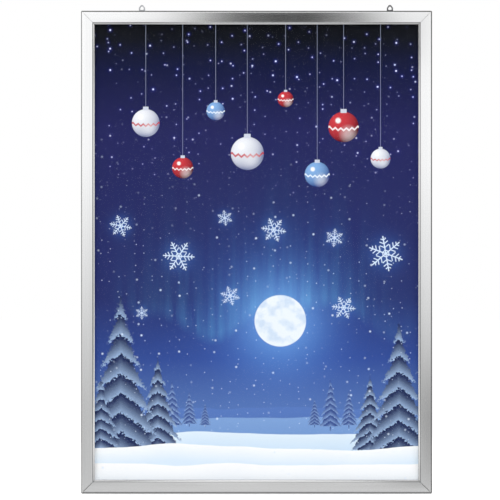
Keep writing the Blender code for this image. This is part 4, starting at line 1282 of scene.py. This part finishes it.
def card_level(place):
    """Brighter upwards, with two dips at the right for that rail. The part inside the rails' outline
    lights the lips. A dark gap and the dark border go over it all."""
    across, _, height = place
    up = height - OUTLINE_MIDDLE
    level = up.ramp(*CARD_RISE) + up.ramp(*CARD_TOP_RISE) + CARD_BASE
    low_dip = ((up - LOW_DIP_HEIGHT) / LOW_DIP_REACH).step("POWER", 2.0) * -1.0
    level = level - low_dip.step("EXPONENT") * across.ramp(*LOW_DIP_SIDE)
    level = level - across.within(*TOP_DIP_SIDE) * up.ramp(*TOP_DIP_HEIGHT)
    inside = across.size().below(*INSIDE_HALF_WIDTH) * up.size().below(*INSIDE_HALF_HEIGHT)
    lower = (up + across.size() * LOWER_SLOPE).below(*LOWER_EDGE)
    upper = (across.size() * UPPER_SLOPE - up).below(*UPPER_EDGE)
    sides = up.ramp(*SIDES_RISE) + SIDES_BASE
    inner = sides * (lower + upper).rest() + lower * LOWER_LEVEL + upper * UPPER_LEVEL
    level = level * inside.rest() + inner * inside
    gap = ((across - GAP_MIDDLE).size() / GAP_HALF).step("POWER", GAP_SHARPNESS) * -1.0
    gap = gap.step("EXPONENT") * up.within(*GAP_FOOT) * up.within(*GAP_TOP)
    level = level * (gap * GAP_DARKNESS).rest()
    border = across.size().within(*BORDER_ACROSS).step("MAXIMUM", up.size().within(*BORDER_UP))
    beyond = across.size().within(*BEYOND_ACROSS).step("MAXIMUM", up.size().within(*BEYOND_UP))
    return level * border.rest() + (beyond * BEYOND_RISE + BORDER_LEVEL) * border


def flag_level(place):
    """Dark close to the frame, and as bright as the card's lower part further out."""
    _, depth, _ = place
    return ((depth - cad_bounds[0].y) * -1.0).ramp(*FLAG_RISE) + BORDER_LEVEL


def add_stage_plane(name, size, place, turn, material):
    start_piece()
    bpy.ops.mesh.primitive_plane_add(size=size, location=place, rotation=turn)
    plane = name_piece(name)
    settle(plane)
    plane.data.materials.append(material)
    return plane


floor_height = cad_bounds[0].z - FLOOR_GAP
add_stage_plane("floor", 2 * FLOOR_HALF, (0, 0, floor_height), (0, 0, 0), floor_finish())
frame_front = cad_bounds[0].y
card = add_stage_plane("light_card", 2 * CARD_HALF, (0, frame_front - CARD_DISTANCE, OUTLINE_MIDDLE),
                       ALONG_DEPTH, glow_finish("card_light", card_level))
flag = add_stage_plane("floor_flag", 1.0, (0, 0, 0), (0, 0, 0), glow_finish("flag_light", flag_level))
flag.data.transform(Matrix.Diagonal((1, FLAG_DEPTH, 1, 1)))
flag.data.transform(Matrix.Translation((0, frame_front - FLAG_DEPTH / 2, floor_height + FLAG_LIFT)))
for plane in (card, flag):
    plane.visible_camera = False
    plane.visible_diffuse = False
    plane.visible_transmission = False
    plane.visible_shadow = False


WHITE = (1, 1, 1, 1)
WALL_RISE, WALL_SIDE_RISE, WALL_BASE = (-0.5, 0.8, 0.42), (-0.8, 0.8, 0.16), 0.24
FRONT_RISE, FRONT_BASE = (0.05, 0.7, 0.75), 0.25
PLAIN_LEVEL = 0.62


def make_surround():
    """White to the eye. Metal sees it dimmer to the sides, and behind as a wall lit from above."""
    world = bpy.data.worlds.new("surround")
    world.use_nodes = True
    bpy.context.scene.world = world
    tree = world.node_tree
    across, ahead, up = parts_of(tree, tree.nodes.new("ShaderNodeTexCoord").outputs["Generated"])
    wall = up.ramp(*WALL_RISE) + WALL_BASE + across.ramp(*WALL_SIDE_RISE)
    front = (ahead * -1.0).ramp(*FRONT_RISE) + FRONT_BASE
    behind = ahead.step("GREATER_THAN", 0.0)
    seen = front * behind.rest() + wall * behind
    direct, mirrored = ray_shares(tree)
    plain = direct.step("MAXIMUM", mirrored).rest() * PLAIN_LEVEL
    background = tree.nodes["Background"]
    background.inputs["Color"].default_value = WHITE
    feed(tree, background.inputs["Strength"], direct + mirrored * seen + plain)


make_surround()


# Lamps: three wide soft boxes at a plain level, above the frame's middle: a stronger one in front
# to the left, a weaker one in front to the right, and one behind.

def add_lamp(name, place, size, power):
    light = bpy.data.lights.new(name, "AREA")
    light.shape = "SQUARE"
    light.size = size
    light.energy = power
    lamp = bpy.data.objects.new(name, light)
    bpy.context.scene.collection.objects.link(lamp)
    lamp.location = place
    to_frame = Vector((0, 0, OUTLINE_MIDDLE)) - Vector(place)
    lamp.rotation_euler = to_frame.to_track_quat("-Z", "Y").to_euler()


add_lamp("key_box", (-1.7, -2.3, 1.5), 1.4, 44)
add_lamp("fill_box", (1.9, -2.0, 0.9), 1.4, 20)
add_lamp("rear_box", (0.6, 2.4, 1.4), 1.6, 24)


# Camera: straight in front with a long lens, and a little off the frame's middle, as the
# photograph has it.

PHOTO_SIZE = 500
METRES_PER_PIXEL = 0.0015155
OUTLINE_CENTRE_PIXEL = (256.55, 252.25)
CAMERA_DISTANCE = 12.0
SENSOR_WIDTH = 36.0
FARTHEST_SEEN = 200.0

camera_data = bpy.data.cameras.new("camera")
camera_data.sensor_width = SENSOR_WIDTH
camera_data.lens = SENSOR_WIDTH * CAMERA_DISTANCE / (PHOTO_SIZE * METRES_PER_PIXEL)
camera_data.clip_end = FARTHEST_SEEN
camera = bpy.data.objects.new("camera", camera_data)
bpy.context.scene.collection.objects.link(camera)
half = PHOTO_SIZE / 2
camera.location = (
    -(OUTLINE_CENTRE_PIXEL[0] - half) * METRES_PER_PIXEL,
    frame_front - CAMERA_DISTANCE,
    OUTLINE_MIDDLE + (OUTLINE_CENTRE_PIXEL[1] - half) * METRES_PER_PIXEL,
)
camera.rotation_euler = ALONG_DEPTH
bpy.context.scene.camera = camera
bpy.context.scene.view_settings.view_transform = "Standard"
